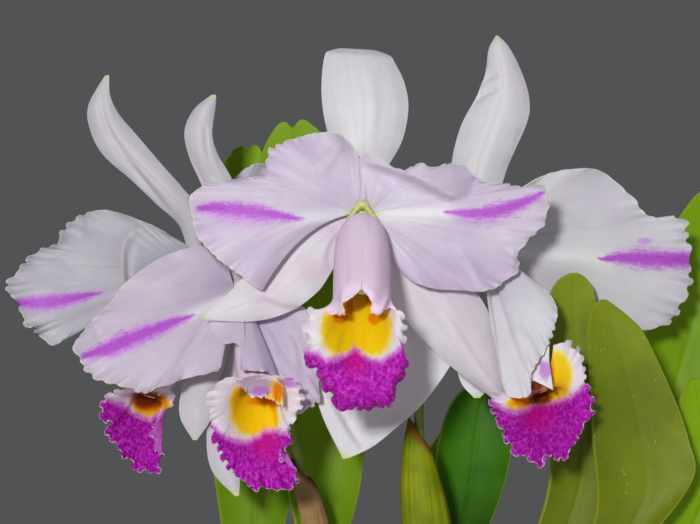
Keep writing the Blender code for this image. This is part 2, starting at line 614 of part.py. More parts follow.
def lip_grid(bloom):
    """A lip: a sheet rolled round the column, then spread to its outline."""
    hub, mouth, axis, up, side = lip_frame(bloom)
    grid = []
    for row in range(LIP_TUBE_ROWS + 1):
        along = (row / LIP_TUBE_ROWS) ** LIP_TUBE_CROWDING
        radius = LIP_BASE_RADIUS + (bloom["mouth_radius"] - LIP_BASE_RADIUS) * lip_swell(bloom, along)
        first = SEAM_HALF_GAP / radius
        line = []
        for angle in np.linspace(first, 2 * math.pi - first, LIP_AROUND + 1):
            slant = bloom.get("slant", 0) * ((1 + math.cos(angle)) / 2) ** 2
            start = hub + axis * (LIP_START - slant)
            centre = start + (mouth - start) * along
            line.append(centre + radius * (math.cos(angle) * up + math.sin(angle) * side))
        grid.append(line)
    ring = grid[-1]
    forward = unit(axis + np.array([0, -1, 0]))
    for row in range(1, LIP_FLARE_ROWS + 1):
        along = row / LIP_FLARE_ROWS
        line = []
        for column, (inner, outer) in enumerate(zip(ring, lip_edge(bloom))):
            turn = column / LIP_AROUND
            spread = min(1, np.linalg.norm(outer - inner) / LIP_FULL_SPREAD)
            push = LIP_TOP_PUSH + (1 - LIP_TOP_PUSH) * math.sin(math.pi * turn) ** 2
            bend = (inner + outer) / 2 + forward * bloom["bulge"] * 2 * spread * push
            point = inner * (1 - along) ** 2 + 2 * bend * along * (1 - along) + outer * along ** 2
            wave = math.cos(2 * math.pi * LIP_WAVES * turn)
            line.append(point + forward * LIP_RUFFLE * spread * wave * along ** 3)
        grid.append(line)
    return grid


def build_pot(parts, cutters):
    rim_outer = POT_TOP_RADIUS + POT_RIM_PROUD
    profile = [(0, POT_WALL), (POT_BASE_RADIUS - POT_WALL, POT_WALL),
               (POT_TOP_RADIUS - POT_WALL, POT_HEIGHT), (rim_outer, POT_HEIGHT),
               (rim_outer - 1, POT_HEIGHT - POT_RIM_HEIGHT),
               (POT_TOP_RADIUS - 2, POT_HEIGHT - POT_RIM_HEIGHT), (POT_BASE_RADIUS, 0), (0, 0)]
    pot = turned("pot", profile, POT_STEPS, parts)
    drains = bpy.data.collections.new("drain_cutters")
    cutters.children.link(drains)
    for hole in range(DRAIN_HOLES):
        turn = 2 * math.pi * (hole + 0.5) / DRAIN_HOLES
        centre = (DRAIN_CIRCLE * math.cos(turn), DRAIN_CIRCLE * math.sin(turn))
        post("drain_cutter", centre, DRAIN_RADIUS, 2 * POT_WALL, -POT_WALL, drains)
    cut(pot, drains)
    paint(pot, "clay")


def bark_radius(height):
    """Radius of the bark, a little inside the pot's tapered wall."""
    slope = (POT_TOP_RADIUS - POT_BASE_RADIUS) / (POT_HEIGHT - POT_WALL)
    return POT_BASE_RADIUS - POT_WALL + slope * (height - POT_WALL) - 2 * GAP


def build_bark(parts, cutters):
    """A plug whose top is rough with chunks of bark, with plain holes for the roots."""
    random.seed(7)
    mesh = bmesh.new()
    bmesh.ops.create_grid(mesh, x_segments=BARK_CELLS, y_segments=BARK_CELLS, size=1)
    side = bmesh.ops.extrude_face_region(mesh, geom=mesh.faces[:])
    lower = [item for item in side["geom"] if isinstance(item, bmesh.types.BMVert)]
    floor = [item for item in side["geom"] if isinstance(item, bmesh.types.BMFace)]
    for vertex in mesh.verts:
        across, along = vertex.co.x, vertex.co.y
        circle = (across * math.sqrt(1 - along ** 2 / 2), along * math.sqrt(1 - across ** 2 / 2))
        height = POT_WALL + GAP
        if vertex not in lower:
            edge = max(abs(across), abs(along)) > 0.99
            height = BARK_TOP - (2 if edge else random.uniform(0, BARK_RELIEF))
        radius = bark_radius(height)
        vertex.co = (circle[0] * radius * MM, circle[1] * radius * MM, height * MM)
    bmesh.ops.dissolve_faces(mesh, faces=floor)
    bmesh.ops.triangulate(mesh, faces=mesh.faces)
    bmesh.ops.recalc_face_normals(mesh, faces=mesh.faces)
    bark = new_object("bark", mesh, parts)
    holes = bpy.data.collections.new("root_cutters")
    cutters.children.link(holes)
    for place in ROOT_PLACES:
        radius = (ROOT_RADIUS + GAP) / math.cos(math.pi / 8)
        post("root_cutter", place, radius, BARK_TOP + ROOT_RADIUS, BARK_TOP - ROOT_DEPTH - GAP, holes)
    cut(bark, holes)
    paint(bark, "bark")


def build_rhizome(parts):
    """Creeping stems that lie on the bark, with roots sunk in it, as one body."""
    height = BARK_TOP + GAP + RHIZOME_RADIUS
    repeats = new_collection("rhizome_repeats")
    for number, run in enumerate(RHIZOME_RUNS):
        radius = RHIZOME_RADIUS - 0.15 * number
        path = smooth([(x, y, height) for x, y in run], 2 * len(run))
        home = repeats if number else parts
        piece = tube("rhizome" if number == 0 else "runner", path, [radius] * len(path), home, 2)
        if number == 0:
            rhizome = piece
    for place in ROOT_PLACES:
        post("root", place, ROOT_RADIUS, height, BARK_TOP - ROOT_DEPTH, repeats)
    join(rhizome, repeats)
    paint(rhizome, "rhizome")


def bulb_top(number):
    return np.array(BULBS[number][1], float)


def build_bulb(number, parts):
    """A swollen, furrowed stem that leans from the rhizome to its leaf, with flat ends."""
    base, top = BULBS[number]
    bottom = BARK_TOP + 2 * (RHIZOME_RADIUS + GAP)
    tall = top[2] - bottom
    profile = [(0, tall), (BULB_TOP_RADIUS, tall), (BULB_TOP_RADIUS + 0.2, tall * 0.96),
               (BULB_BELLY - 0.4, tall * 0.8), (BULB_BELLY, tall * 0.6), (BULB_BELLY - 1.6, tall * 0.36),
               (BULB_BASE_RADIUS, tall * 0.12), (BULB_BASE_RADIUS, 0), (0, 0)]
    bulb = turned(f"pseudobulb_{number}", profile, ROUND_STEPS, parts)
    for vertex in bulb.data.vertices:
        rise = vertex.co.z / (tall * MM)
        lean = rise ** BULB_LEAN
        furrow = 1 - BULB_FURROW_DEPTH * math.cos(BULB_FURROWS * math.atan2(vertex.co.y, vertex.co.x))
        vertex.co.x = vertex.co.x * furrow + (base[0] + (top[0] - base[0]) * lean) * MM
        vertex.co.y = vertex.co.y * furrow + (base[1] + (top[1] - base[1]) * lean) * MM
        vertex.co.z += bottom * MM
    bulb.data.shade_smooth()
    paint(bulb, "bulb")


def build_leaf(number, parts):
    """A strap leaf on its bulb, folded a little along its middle."""
    setback = LEAF_SETBACK if number in SET_BACK_LEAVES else 0
    root = bulb_top(number) + np.array([0, setback, LEAF_ROOT_LIFT])
    wide = np.array([LEAF_ROOT_WIDTH, 0, 0])
    stations = [np.concatenate([root - wide, root + np.array([0, 1, 0]), root + wide])]
    stations += [seen_row(*row) for row in LEAVES[number]]
    leaf = sheet(f"leaf_{number}", blade_grid(stations, LEAF_ROWS, BLADE_COLUMNS),
                 LEAF_THICKNESS, parts)
    settle(leaf)
    leaf.data.shade_smooth()
    paint(leaf, "leaf")


def stem_path(stalk, letter, count):
    """A smooth path along a stalk, whose last stretch runs straight to the back of its bloom."""
    back = seen(*BLOOMS[letter]["hub"]) + np.array([0, OVARY_LENGTH + GAP, 0])
    bend = smooth(stalk + [tuple(back + np.array([0, STALK_STRAIGHT, 0]))], count)
    return np.vstack([bend, back])


def build_stem(number, parts):
    repeats = new_collection("stem_repeats")
    pieces = []
    for order, (letter, stalk) in enumerate(STEMS[number]):
        path = stem_path(stalk, letter, STEM_POINTS if order == 0 else STALK_POINTS)
        home = repeats if order else parts
        name = "stalk" if order else f"flower_stem_{number}"
        pieces.append(tube(name, path, [STEM_RADIUS - 0.2 * order] * len(path), home))
    stem = pieces[0]
    join(stem, repeats)
    stem.data.shade_smooth()
    paint(stem, "stem")


def build_sheath(number, parts):
    """A thin flattened pocket round the foot of a flower stem, with a slanted open top."""
    sizes = SHEATHS[number]
    foot = bulb_top(sizes["bulb"])[2] + LEAF_ROOT_LIFT
    letter, stalk = STEMS[number][0]
    path = stem_path(stalk, letter, 200)
    grid = []
    for row in range(SHEATH_ROWS + 1):
        along = row / SHEATH_ROWS
        belly = math.sin(math.pi * along ** 0.8) ** 0.8
        wide = SHEATH_FOOT_WIDTH + (sizes["wide"] - SHEATH_FOOT_WIDTH) * belly
        line = []
        for turn in np.linspace(0, 2 * math.pi, SHEATH_AROUND + 1):
            slant = 1 - SHEATH_SLANT * (1 + math.cos(turn)) / 2
            height = foot + sizes["height"] * along * slant
            centre = [np.interp(height, path[:, 2], path[:, axis]) for axis in (0, 1)]
            line.append(np.array([centre[0] + wide * math.cos(turn),
                                  centre[1] + sizes["deep"] * math.sin(turn), height]))
        grid.append(line)
    sheath = sheet(f"sheath_{number}", grid, SHEATH_THICKNESS, parts)
    settle(sheath)
    sheath.data.shade_smooth()
    paint(sheath, f"sheath_{number}")


def build_petals(letter, parts):
    """Three sepals and two petals, grown together at the hub with its ovary behind.

    The front bloom's hub also has a cap and two short arms that show above its lip.
    """
    bloom = BLOOMS[letter]
    hub, mouth, axis, up, side = lip_frame(bloom)
    repeats = new_collection("petal_repeats")
    for rows in bloom["sepals"]:
        grid = blade_grid(sepal_stations(hub, rows), SEPAL_ROWS, BLADE_COLUMNS)
        sheet("sepal", grid, PETAL_THICKNESS, repeats)
    for petal in bloom["petals"]:
        sheet("petal", petal_grid(petal, PETAL_SPOKES, PETAL_RINGS), PETAL_THICKNESS, repeats)
    ovary = [hub, hub + np.array([0, OVARY_LENGTH, 0])]
    tube("ovary", ovary, [OVARY_RADIUS] * 2, repeats, 2)
    if letter == CAPPED_BLOOM:
        rise, along = CAP_PLACE
        ball("cap", hub + rise * up + along * axis, CAP_RADIUS, repeats, 8)
        for hand in (-1, 1):
            path = [hub + rise * up + along * axis + hand * out * side for rise, along, out in ARM_PLACES]
            tube("arm", path, ARM_RADII, repeats)
    petals = ball(f"bloom_{letter}_petals", hub, HUB_RADIUS, parts)
    join(petals, repeats, "MANIFOLD")
    petals.data.shade_smooth()
    paint(petals, "petals")


def build_lip(letter, parts):
    lip = sheet(f"bloom_{letter}_lip", lip_grid(BLOOMS[letter]), LIP_THICKNESS, parts)
    settle(lip)
    lip.data.shade_smooth()
    paint(lip, "lip")


def build_column(letter, parts):
    """The column inside the lip's tube, with its swollen tip under the tube's mouth."""
    bloom = BLOOMS[letter]
    hub, mouth, axis, up, side = lip_frame(bloom)
    tip = mouth + up * bloom["mouth_radius"] * COLUMN_TIP_SHARE
    rod = [hub + axis * COLUMN_START, hub + axis * (COLUMN_START + COLUMN_SHAFT),
           (hub + mouth) / 2 + up * COLUMN_RISE]
    rod += [tip - axis * length for length in COLUMN_TIP_LENGTHS] + [tip]
    column = tube(f"bloom_{letter}_column", rod, COLUMN_RADII, parts)
    column.data.shade_smooth()
    paint(column, "column")


def main():
    for old in list(bpy.data.objects):
        bpy.data.objects.remove(old)
    parts = new_collection("cattleya_orchid")
    cutters = new_collection("cutters")
    build_pot(parts, cutters)
    build_bark(parts, cutters)
    build_rhizome(parts)
    for number in BULBS:
        build_bulb(number, parts)
        build_leaf(number, parts)
    for number in STEMS:
        build_stem(number, parts)
        build_sheath(number, parts)
    for letter in BLOOMS:
        build_petals(letter, parts)
        build_lip(letter, parts)
        build_column(letter, parts)


main()
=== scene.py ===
# %% [markdown]
# # A cattleya orchid, dressed
# This file puts the looks on a potted orchid with four blooms. The construction model gives every
# piece its size and place. Here each plain solid gets a finish, or a finer piece in its place.

# %% Load the frame
import math

import bpy
import numpy as np
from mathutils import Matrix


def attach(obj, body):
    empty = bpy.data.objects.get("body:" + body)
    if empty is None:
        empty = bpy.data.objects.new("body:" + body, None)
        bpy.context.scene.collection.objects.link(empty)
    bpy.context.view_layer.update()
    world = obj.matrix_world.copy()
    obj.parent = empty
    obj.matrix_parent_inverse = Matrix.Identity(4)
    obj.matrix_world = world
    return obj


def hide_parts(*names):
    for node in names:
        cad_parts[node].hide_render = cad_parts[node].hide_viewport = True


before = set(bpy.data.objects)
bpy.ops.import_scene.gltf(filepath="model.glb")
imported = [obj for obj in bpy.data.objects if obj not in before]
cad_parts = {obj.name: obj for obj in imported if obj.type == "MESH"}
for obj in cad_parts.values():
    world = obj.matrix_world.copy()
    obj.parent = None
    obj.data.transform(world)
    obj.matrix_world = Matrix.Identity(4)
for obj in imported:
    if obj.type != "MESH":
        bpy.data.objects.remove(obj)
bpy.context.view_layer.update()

bpy.ops.object.select_all(action="DESELECT")
print("construction nodes:", len(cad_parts))

# %% [markdown]
# ## One way to measure
# A flower is easiest to shape on its front view. Each place there is a number of grid steps to the
# right and down, with a depth behind the front bloom. An eye at a fixed distance sees them, so
# a deeper one is spread wider. The same rule turned round tells where a point shows in that view,
# which later places the colours.

# %% From the front view to space, and back
MM = 0.001
PETAL_SPAN = 160.0
PETAL_SPAN_STEPS = 356.0
STEP = PETAL_SPAN / PETAL_SPAN_STEPS
EYE_DISTANCE = 744.0
EYE_HEIGHT = 430.0
GRID_CENTRE = (350.0, 262.0)


def seen(x, y, depth):
    """The point in mm that the eye sees at a grid place, at a depth behind the front bloom."""
    x, y, depth = np.broadcast_arrays(x, y, depth)
    spread = STEP * (1 + depth / EYE_DISTANCE)
    across = (x - GRID_CENTRE[0]) * spread
    height = EYE_HEIGHT - (y - GRID_CENTRE[1]) * spread
    return np.stack([across, depth, height], axis=-1)


def shown(points):
    """The grid place at which the eye sees each point."""
    spread = STEP * (1 + points[..., 1] / EYE_DISTANCE)
    x = points[..., 0] / spread + GRID_CENTRE[0]
    y = (EYE_HEIGHT - points[..., 2]) / spread + GRID_CENTRE[1]
    return x, y


def unit(vectors):
    return vectors / np.linalg.norm(vectors, axis=-1, keepdims=True)


def smooth(points, count):
    """Points at even steps along a smooth curve through the given ones."""
    points = np.array(points, float)
    ends = np.vstack([2 * points[0] - points[1], points, 2 * points[-1] - points[-2]])
    t = np.linspace(0, 1, 12, endpoint=False)[:, None]
    fine = []
    for before, start, end, after in zip(ends, ends[1:], ends[2:], ends[3:]):
        pull = (end - before) * t
        bend = (2 * before - 5 * start + 4 * end - after) * t ** 2
        turn = (3 * start - before - 3 * end + after) * t ** 3
        fine.append(start + 0.5 * (pull + bend + turn))
    fine = np.vstack(fine + [points[-1]])
    run = np.concatenate([[0], np.cumsum(np.linalg.norm(np.diff(fine, axis=0), axis=1))])
    marks = np.linspace(0, run[-1], count)
    return np.column_stack([np.interp(marks, run, column) for column in fine.T])


def ripple(turn, fewest, most, seed):
    """An uneven wavy line: sine waves of seeded strength, from few to many over one turn."""
    dice = np.random.RandomState(seed)
    total = np.zeros(np.shape(turn))
    for waves in range(fewest, most + 1):
        total = total + dice.normal() * np.sin(2 * np.pi * (waves * turn + dice.rand()))
    return total / math.sqrt(most - fewest + 1)


def ruffle(turn, waves, seed):
    """A curly margin: its push out of the sheet, its slide along the rim and its tuck inwards."""
    phase = 2 * np.pi * (waves * turn + 0.5 * ripple(turn, 2, max(3, waves // 2), seed) / 2)
    strength = np.clip(1 + 0.35 * ripple(turn, 3, max(4, waves // 2), seed + 1), 0.3, 1.7)
    return strength * np.cos(phase), -strength * np.sin(2 * phase) / 2, strength * np.sin(phase)


def near_line(x, y, line):
    """How far each place is from a broken line, how far along it, 0 to 1, and its side of it."""
    line = np.array(line, float)
    steps = np.linalg.norm(np.diff(line, axis=0), axis=1)
    total = steps.sum()
    gap = np.full(np.shape(x), 1e9)
    along = np.zeros(np.shape(x))
    side = np.zeros(np.shape(x))
    done = 0
    for start, end, length in zip(line, line[1:], steps):
        run = end - start
        t = np.clip(((x - start[0]) * run[0] + (y - start[1]) * run[1]) / length ** 2, 0, 1)
        here = np.hypot(x - start[0] - t * run[0], y - start[1] - t * run[1])
        closer = here < gap
        gap = np.where(closer, here, gap)
        along = np.where(closer, (done + t * length) / total, along)
        cross = run[0] * (y - start[1]) - run[1] * (x - start[0])
        side = np.where(closer, np.sign(cross), side)
        done += length
    return gap, along, side


print("grid step in mm:", round(STEP, 4))

# %% [markdown]
# ## From rows of points to a piece
# A petal, leaf or rolled lip is a thin sheet. A grid primitive has the right faces already, so its
# corners only move onto rows of computed points, and Solidify gives the wall. Marks such as "how
# near the rim" are kept on the corners, and the finishes read them.

# %% Sheets and wrapped rods
MERGE_MM = 0.01
CREASE_ANGLE = 50.0


def make_active(made):
    bpy.ops.object.select_all(action="DESELECT")
    made.select_set(True)
    bpy.context.view_layer.objects.active = made


def apply_modifier(made, modifier):
    make_active(made)
    bpy.ops.object.modifier_apply(modifier=modifier.name)


def grid_piece(name, points, marks):
    """A grid primitive moved onto rows of points in mm, with its marks as attributes."""
    rows, columns = points.shape[0] - 1, points.shape[1] - 1
    bpy.ops.mesh.primitive_grid_add(x_subdivisions=rows, y_subdivisions=columns, size=2)
    made = bpy.context.object
    made.name = name
    mesh = made.data
    flat = np.empty(len(mesh.vertices) * 3)
    mesh.vertices.foreach_get("co", flat)
    corners = flat.reshape(-1, 3)
    row = np.rint((corners[:, 0] + 1) / 2 * rows).astype(int)
    column = np.rint((corners[:, 1] + 1) / 2 * columns).astype(int)
    mesh.vertices.foreach_set("co", (points[row, column] * MM).ravel())
    for key, values in marks.items():
        layer = mesh.attributes.new(key, "FLOAT", "POINT")
        values = np.broadcast_to(values, points.shape[:2])
        layer.data.foreach_set("value", np.ascontiguousarray(values[row, column], dtype=np.float32))
    mesh.update()
    return made


def soften(made):
    """Shade smoothly, but keep creases sharper than the set angle."""
    make_active(made)
    bpy.ops.object.shade_smooth_by_angle(angle=math.radians(CREASE_ANGLE))
    return made


def thicken(made, thickness, rim=1.0):
    """Give a sheet its wall, half to each side, thinner to the right of its middle for a rim < 1."""
    wall = made.modifiers.new("Wall", "SOLIDIFY")
    wall.thickness = thickness * MM
    wall.offset = 0
    if rim < 1:
        weights = [min(1, 1 - corner.value) for corner in made.data.attributes["across"].data]
        group = made.vertex_groups.new(name="body")
        for index, weight in enumerate(weights):
            group.add([index], weight, "REPLACE")
        wall.vertex_group = "body"
        wall.thickness_vertex_group = rim
    apply_modifier(made, wall)
    return soften(made)


def face_outwards(made, merge=False):
    """Point every face of a closed piece outwards, once corners that lie together are merged."""
    make_active(made)
    bpy.ops.object.mode_set(mode="EDIT")
    bpy.ops.mesh.select_all(action="SELECT")
    if merge:
        bpy.ops.mesh.remove_doubles(threshold=MERGE_MM * MM)
    bpy.ops.mesh.normals_make_consistent(inside=False)
    bpy.ops.object.mode_set(mode="OBJECT")


def combine(core, others, operation="UNION"):
    """Join closed pieces to a core, or cut them out of it, and drop them."""
    for other in others:
        change = core.modifiers.new("Combine", "BOOLEAN")
        change.operation = operation
        change.object = other
        change.solver = "EXACT"
        apply_modifier(core, change)
        bpy.data.objects.remove(other)
    return core


def rod(name, path, radii, sides, furrow=None):
    """A closed rod: a grid wrapped in rings round a path and drawn to a point at both ends."""
    path = np.array(path, float)
    heading = unit(np.gradient(path, axis=0))
    normal = np.empty_like(path)
    normal[0] = unit(np.cross(heading[0], [0.3, 0.9, 0.2]))
    for index in range(1, len(path)):
        kept = normal[index - 1] - heading[index] * normal[index - 1].dot(heading[index])
        normal[index] = unit(kept)
    other = np.cross(heading, normal)
    turn = np.linspace(0, 1, sides + 1)
    angle = 2 * np.pi * turn
    radii = np.array(radii, float)[:, None] * np.ones_like(angle)[None, :]
    if furrow is not None:
        radii = radii * furrow(np.linspace(0, 1, len(path))[:, None], turn[None, :])
    cos, sin = (wave(angle)[None, :, None] for wave in (np.cos, np.sin))
    points = path[:, None] + radii[..., None] * (cos * normal[:, None] + sin * other[:, None])
    points = np.concatenate([np.repeat(path[:1, None], sides + 1, 1), points,
                             np.repeat(path[-1:, None], sides + 1, 1)])
    along = np.linspace(0, 1, len(points))[:, None]
    made = grid_piece(name, points, {"along": along, "around": turn[None, :]})
    face_outwards(made, merge=True)
    return soften(made)


def paint(made, material):
    made.data.materials.clear()
    made.data.materials.append(material)


def dress(made, material, slot, *nodes):
    """Give a finished piece its material and body, and hide the nodes that it stands for. The slot
    is not used.
    """
    paint(made, material)
    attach(made, "root")
    if nodes:
        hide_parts(*nodes)
    size = [round(side * 1000) for side in made.dimensions]
    print(f"{made.name}: {len(made.data.polygons)} faces, {size} mm")
    return made


# %% [markdown]
# ## Finishes from nodes
# Every finish is a Principled shader fed by noise and by the marks on the corners. Small helpers
# keep the recipes readable: one adds a node, one makes a soft step, three do sums, and two lay one
# colour over another. Colours are given as a screen shows them, and turned to light values once.

# %% Helpers for materials
def tint(red, green, blue):
    """A screen colour, 0 to 255, as the light values that a shader wants."""
    shares = [value / 255 for value in (red, green, blue)]
    light = [c / 12.92 if c <= 0.04045 else ((c + 0.055) / 1.055) ** 2.4 for c in shares]
    return (*light, 1.0)


class Bench:
    """Where the helpers put their nodes: the tree of the finish that is being made."""
    tree = None


def add(kind, feed=None, **settings):
    """Add a node, set it up, and feed its sockets with numbers, colours or other nodes' outputs."""
    made = Bench.tree.nodes.new("ShaderNode" + kind)
    for key, value in settings.items():
        setattr(made, key, value)
    for socket, value in (feed or {}).items():
        if isinstance(value, bpy.types.NodeSocket):
            Bench.tree.links.new(value, made.inputs[socket])
        else:
            made.inputs[socket].default_value = value
    return made


def mark(name):
    return add("Attribute", attribute_name=name).outputs["Fac"]


def place():
    return add("TexCoord").outputs["Object"]


def step(value, low, high):
    """0 under the low mark, 1 over the high one, and a soft step between."""
    feed = {"Value": value, "From Min": low, "From Max": high}
    return add("MapRange", feed, interpolation_type="SMOOTHSTEP").outputs["Result"]


def times(first, second):
    return add("Math", {0: first, 1: second}, operation="MULTIPLY").outputs[0]


def plus(first, second):
    return add("Math", {0: first, 1: second}, operation="ADD").outputs[0]


def minus(first, second):
    return add("Math", {0: first, 1: second}, operation="SUBTRACT").outputs[0]


def mix(share, first, second):
    return add("Mix", {0: share, 6: first, 7: second}, data_type="RGBA").outputs[2]


def coat(body, colour, share, strength):
    """Lay a colour over a body where the share says, at a strength."""
    return mix(times(share, strength), body, colour)


def along_piece(first, first_scale, second, second_scale, shift=0.0):
    """A pattern space that follows two marks, so that streaks run with the piece."""
    feed = {0: times(mark(first), first_scale), 1: times(mark(second), second_scale), 2: shift}
    return add("CombineXYZ", feed).outputs[0]


def noise(space, scale, detail=3.0, roughness=0.5):
    feed = {"Vector": space, "Scale": scale, "Detail": detail, "Roughness": roughness}
    return add("TexNoise", feed).outputs["Fac"]


def new_finish(name, roughness, **sockets):
    """A material with fixed values set on its Principled shader, and its tree on the bench."""
    material = bpy.data.materials.new(name)
    material.use_nodes = True
    Bench.tree = material.node_tree
    shader = Bench.tree.nodes["Principled BSDF"]
    shader.inputs["Roughness"].default_value = roughness
    for key, value in sockets.items():
        shader.inputs[key.replace("_", " ")].default_value = value
    return material


def settle(material, body, *layers):
    """Give the shader its colour and a stack of bumps, each a height and its distance in mm."""
    tree = material.node_tree
    shader = tree.nodes["Principled BSDF"]
    tree.links.new(body, shader.inputs["Base Color"])
    feed = {"Strength": 1.0}
    for height, distance in layers:
        feed.update({"Height": height, "Distance": distance * MM})
        feed["Normal"] = add("Bump", feed).outputs["Normal"]
    if layers:
        tree.links.new(feed["Normal"], shader.inputs["Normal"])
    return material


# %% [markdown]
# ## Petal and sepal finish
# A cattleya's petal is a lilac white that thins to a cream rim, with veins that fan out from its
# base and a feathered purple flame along its middle. The flame is a mark on the corners, and
# streaks that run with the veins fray its edge. Fine grains in the bump give the crystalline glow.

# %% Petal and sepal materials
PETAL_RIM = tint(240, 238, 206)
FLAME_DEEP = tint(188, 80, 213)
FLAME_SOFT = tint(212, 142, 234)
FLAME_VEIN = tint(150, 50, 182)
HUB_GREEN = tint(206, 214, 120)
SEPAL_BLUSH = tint(224, 202, 220)
SEPAL_TIP = tint(206, 214, 138)
MIDRIB_WHITE = tint(246, 247, 246)
PETAL_SOCKETS = {"Subsurface_Weight": 0.14, "Subsurface_Scale": 0.002, "Sheen_Weight": 0.08,
                 "Specular_IOR_Level": 0.35}


def crystal(material, body, veins):
    """Finish a petal or sepal with veins, soft swells and the fine grain that makes it glow."""
    grain = noise(place(), 1500.0, 2.0)
    swell = noise(place(), 150.0, 3.0)
    return settle(material, body, (veins, 0.03), (swell, 0.35), (grain, 0.05))


def around_half(value, share):
    """A noise value brought to both sides of 0 and scaled."""
    return times(minus(value, 0.5), share)


def petal_finish(name, white, lilac):
    material = new_finish(name, 0.5, **PETAL_SOCKETS)
    reach = mark("reach")
    streaks = noise(along_piece("angle", 80.0, "reach", 2.2), 1.0, 4.0, 0.6)
    clouds = noise(place(), 30.0, 3.0)
    body = mix(step(clouds, 0.3, 0.7), white, lilac)
    body = coat(body, lilac, step(streaks, 0.5, 0.8), 0.22)
    body = coat(body, MIDRIB_WHITE, mark("midrib"), 0.7)
    rim = times(step(reach, 0.985, 1.0), 0.55)
    body = mix(rim, body, PETAL_RIM)
    hub = step(minus(0.1, reach), 0.0, 0.08)
    body = coat(body, HUB_GREEN, hub, 0.6)
    fray = around_half(streaks, 0.55)
    grain = around_half(noise(place(), 850.0, 3.0, 0.6), 0.55)
    clumps = around_half(noise(place(), 330.0, 3.0, 0.6), 0.5)
    broken = plus(plus(fray, grain), clumps)
    haze = plus(mark("haze"), broken)
    body = coat(body, FLAME_SOFT, step(haze, 0.1, 0.8), 0.85)
    core = plus(mark("blaze"), broken)
    body = coat(body, FLAME_DEEP, step(core, 0.1, 0.85), 0.95)
    veins = noise(along_piece("angle", 150.0, "reach", 9.0, 3.0), 1.0, 3.0, 0.7)
    vein = times(step(veins, 0.58, 0.66), step(mark("haze"), 0.0, 0.35))
    body = coat(body, FLAME_VEIN, vein, 0.6)
    return crystal(material, body, streaks)


def sepal_finish(name, bright, shade):
    material = new_finish(name, 0.5, **PETAL_SOCKETS)
    streaks = noise(along_piece("across", 7.0, "along", 3.0), 1.0, 3.0, 0.5)
    body = mix(step(streaks, 0.3, 0.8), bright, shade)
    blush = step(noise(place(), 30.0, 2.0), 0.35, 0.75)
    body = coat(body, SEPAL_BLUSH, blush, mark("blush"))
    tip = step(mark("along"), 0.95, 1.0)
    body = coat(body, SEPAL_TIP, tip, 0.75)
    root = step(minus(0.1, mark("along")), 0.0, 0.1)
    body = coat(body, HUB_GREEN, root, 0.5)
    rim = times(step(mark("edge"), 0.96, 1.0), 0.35)
    body = mix(rim, body, PETAL_RIM)
    return crystal(material, body, streaks)


def hub_finish(name, light, dark):
    material = new_finish(name, 0.45, Subsurface_Weight=0.1, Subsurface_Scale=0.002)
    mottle = noise(place(), 260.0, 4.0)
    body = mix(step(mottle, 0.35, 0.7), light, dark)
    return settle(material, body, (mottle, 0.2))


# Blooms b and c get darker petal finishes than a and d: painted shade over a lilac and a cool grey
# tint.
PETAL_LOOKS = {"a": petal_finish("petal_lilac", tint(221, 211, 229), tint(207, 191, 220)),
               "b": petal_finish("petal_lilac_shaded", tint(214, 204, 220), tint(200, 186, 212)),
               "c": petal_finish("petal_cool_shaded", tint(199, 198, 206), tint(186, 183, 196)),
               "d": petal_finish("petal_pale", tint(224, 222, 228), tint(211, 207, 219))}
sepal_white = sepal_finish("sepal_white", tint(229, 228, 232), tint(223, 220, 228))
# The sepals of blooms b and c take a darker copy of the white finish: painted shade.
sepal_shaded = sepal_finish("sepal_shaded", tint(209, 208, 213), tint(201, 199, 207))
SEPAL_LOOKS = {"a": sepal_white, "b": sepal_shaded, "c": sepal_shaded, "d": sepal_white}
hub_green = hub_finish("hub_green", tint(226, 226, 146), tint(170, 190, 92))
hub_pale = hub_finish("hub_pale", tint(236, 228, 240), tint(222, 212, 230))
print("petal finishes:", ", ".join(look.name for look in PETAL_LOOKS.values()))

# %% [markdown]
# ## Lip finish
# The lip is the showy part: a lilac tube outside, a yellow throat with orange eyes, white
# shoulders and a purple front lobe that glitters as if strewn with sugar, its glitter painted as
# light pink dots. Each colour field is a mark on the corners, drawn on the front view, and noise
# breaks the borders between them. Some fields paint shade: dark brown deep in a tube, dark orange
# under a roof or side lobe, and greyish mauve on a lobe's underside.

# %% Lip and column materials
LIP_PURPLE = tint(204, 10, 200)
LIP_DARK = tint(166, 0, 162)
LIP_PINK_AND_GLINT = tint(232, 128, 238)
LIP_CORE = tint(220, 0, 150)
LIP_WHITE = tint(238, 231, 241)
LIP_LOBE_SHADE = tint(176, 148, 166)
LIP_TUBE = tint(246, 224, 244)
LIP_TUBE_DEEP = tint(234, 204, 236)
LIP_SEAM = tint(244, 226, 222)
LIP_RIM = tint(244, 214, 236)
LIP_STAIN = tint(186, 96, 214)
GOLD = tint(255, 212, 8)
GOLD_PALE = tint(252, 238, 130)
EMBER_AND_SHADE = tint(238, 138, 0)
THROAT_SHADE = tint(128, 52, 2)


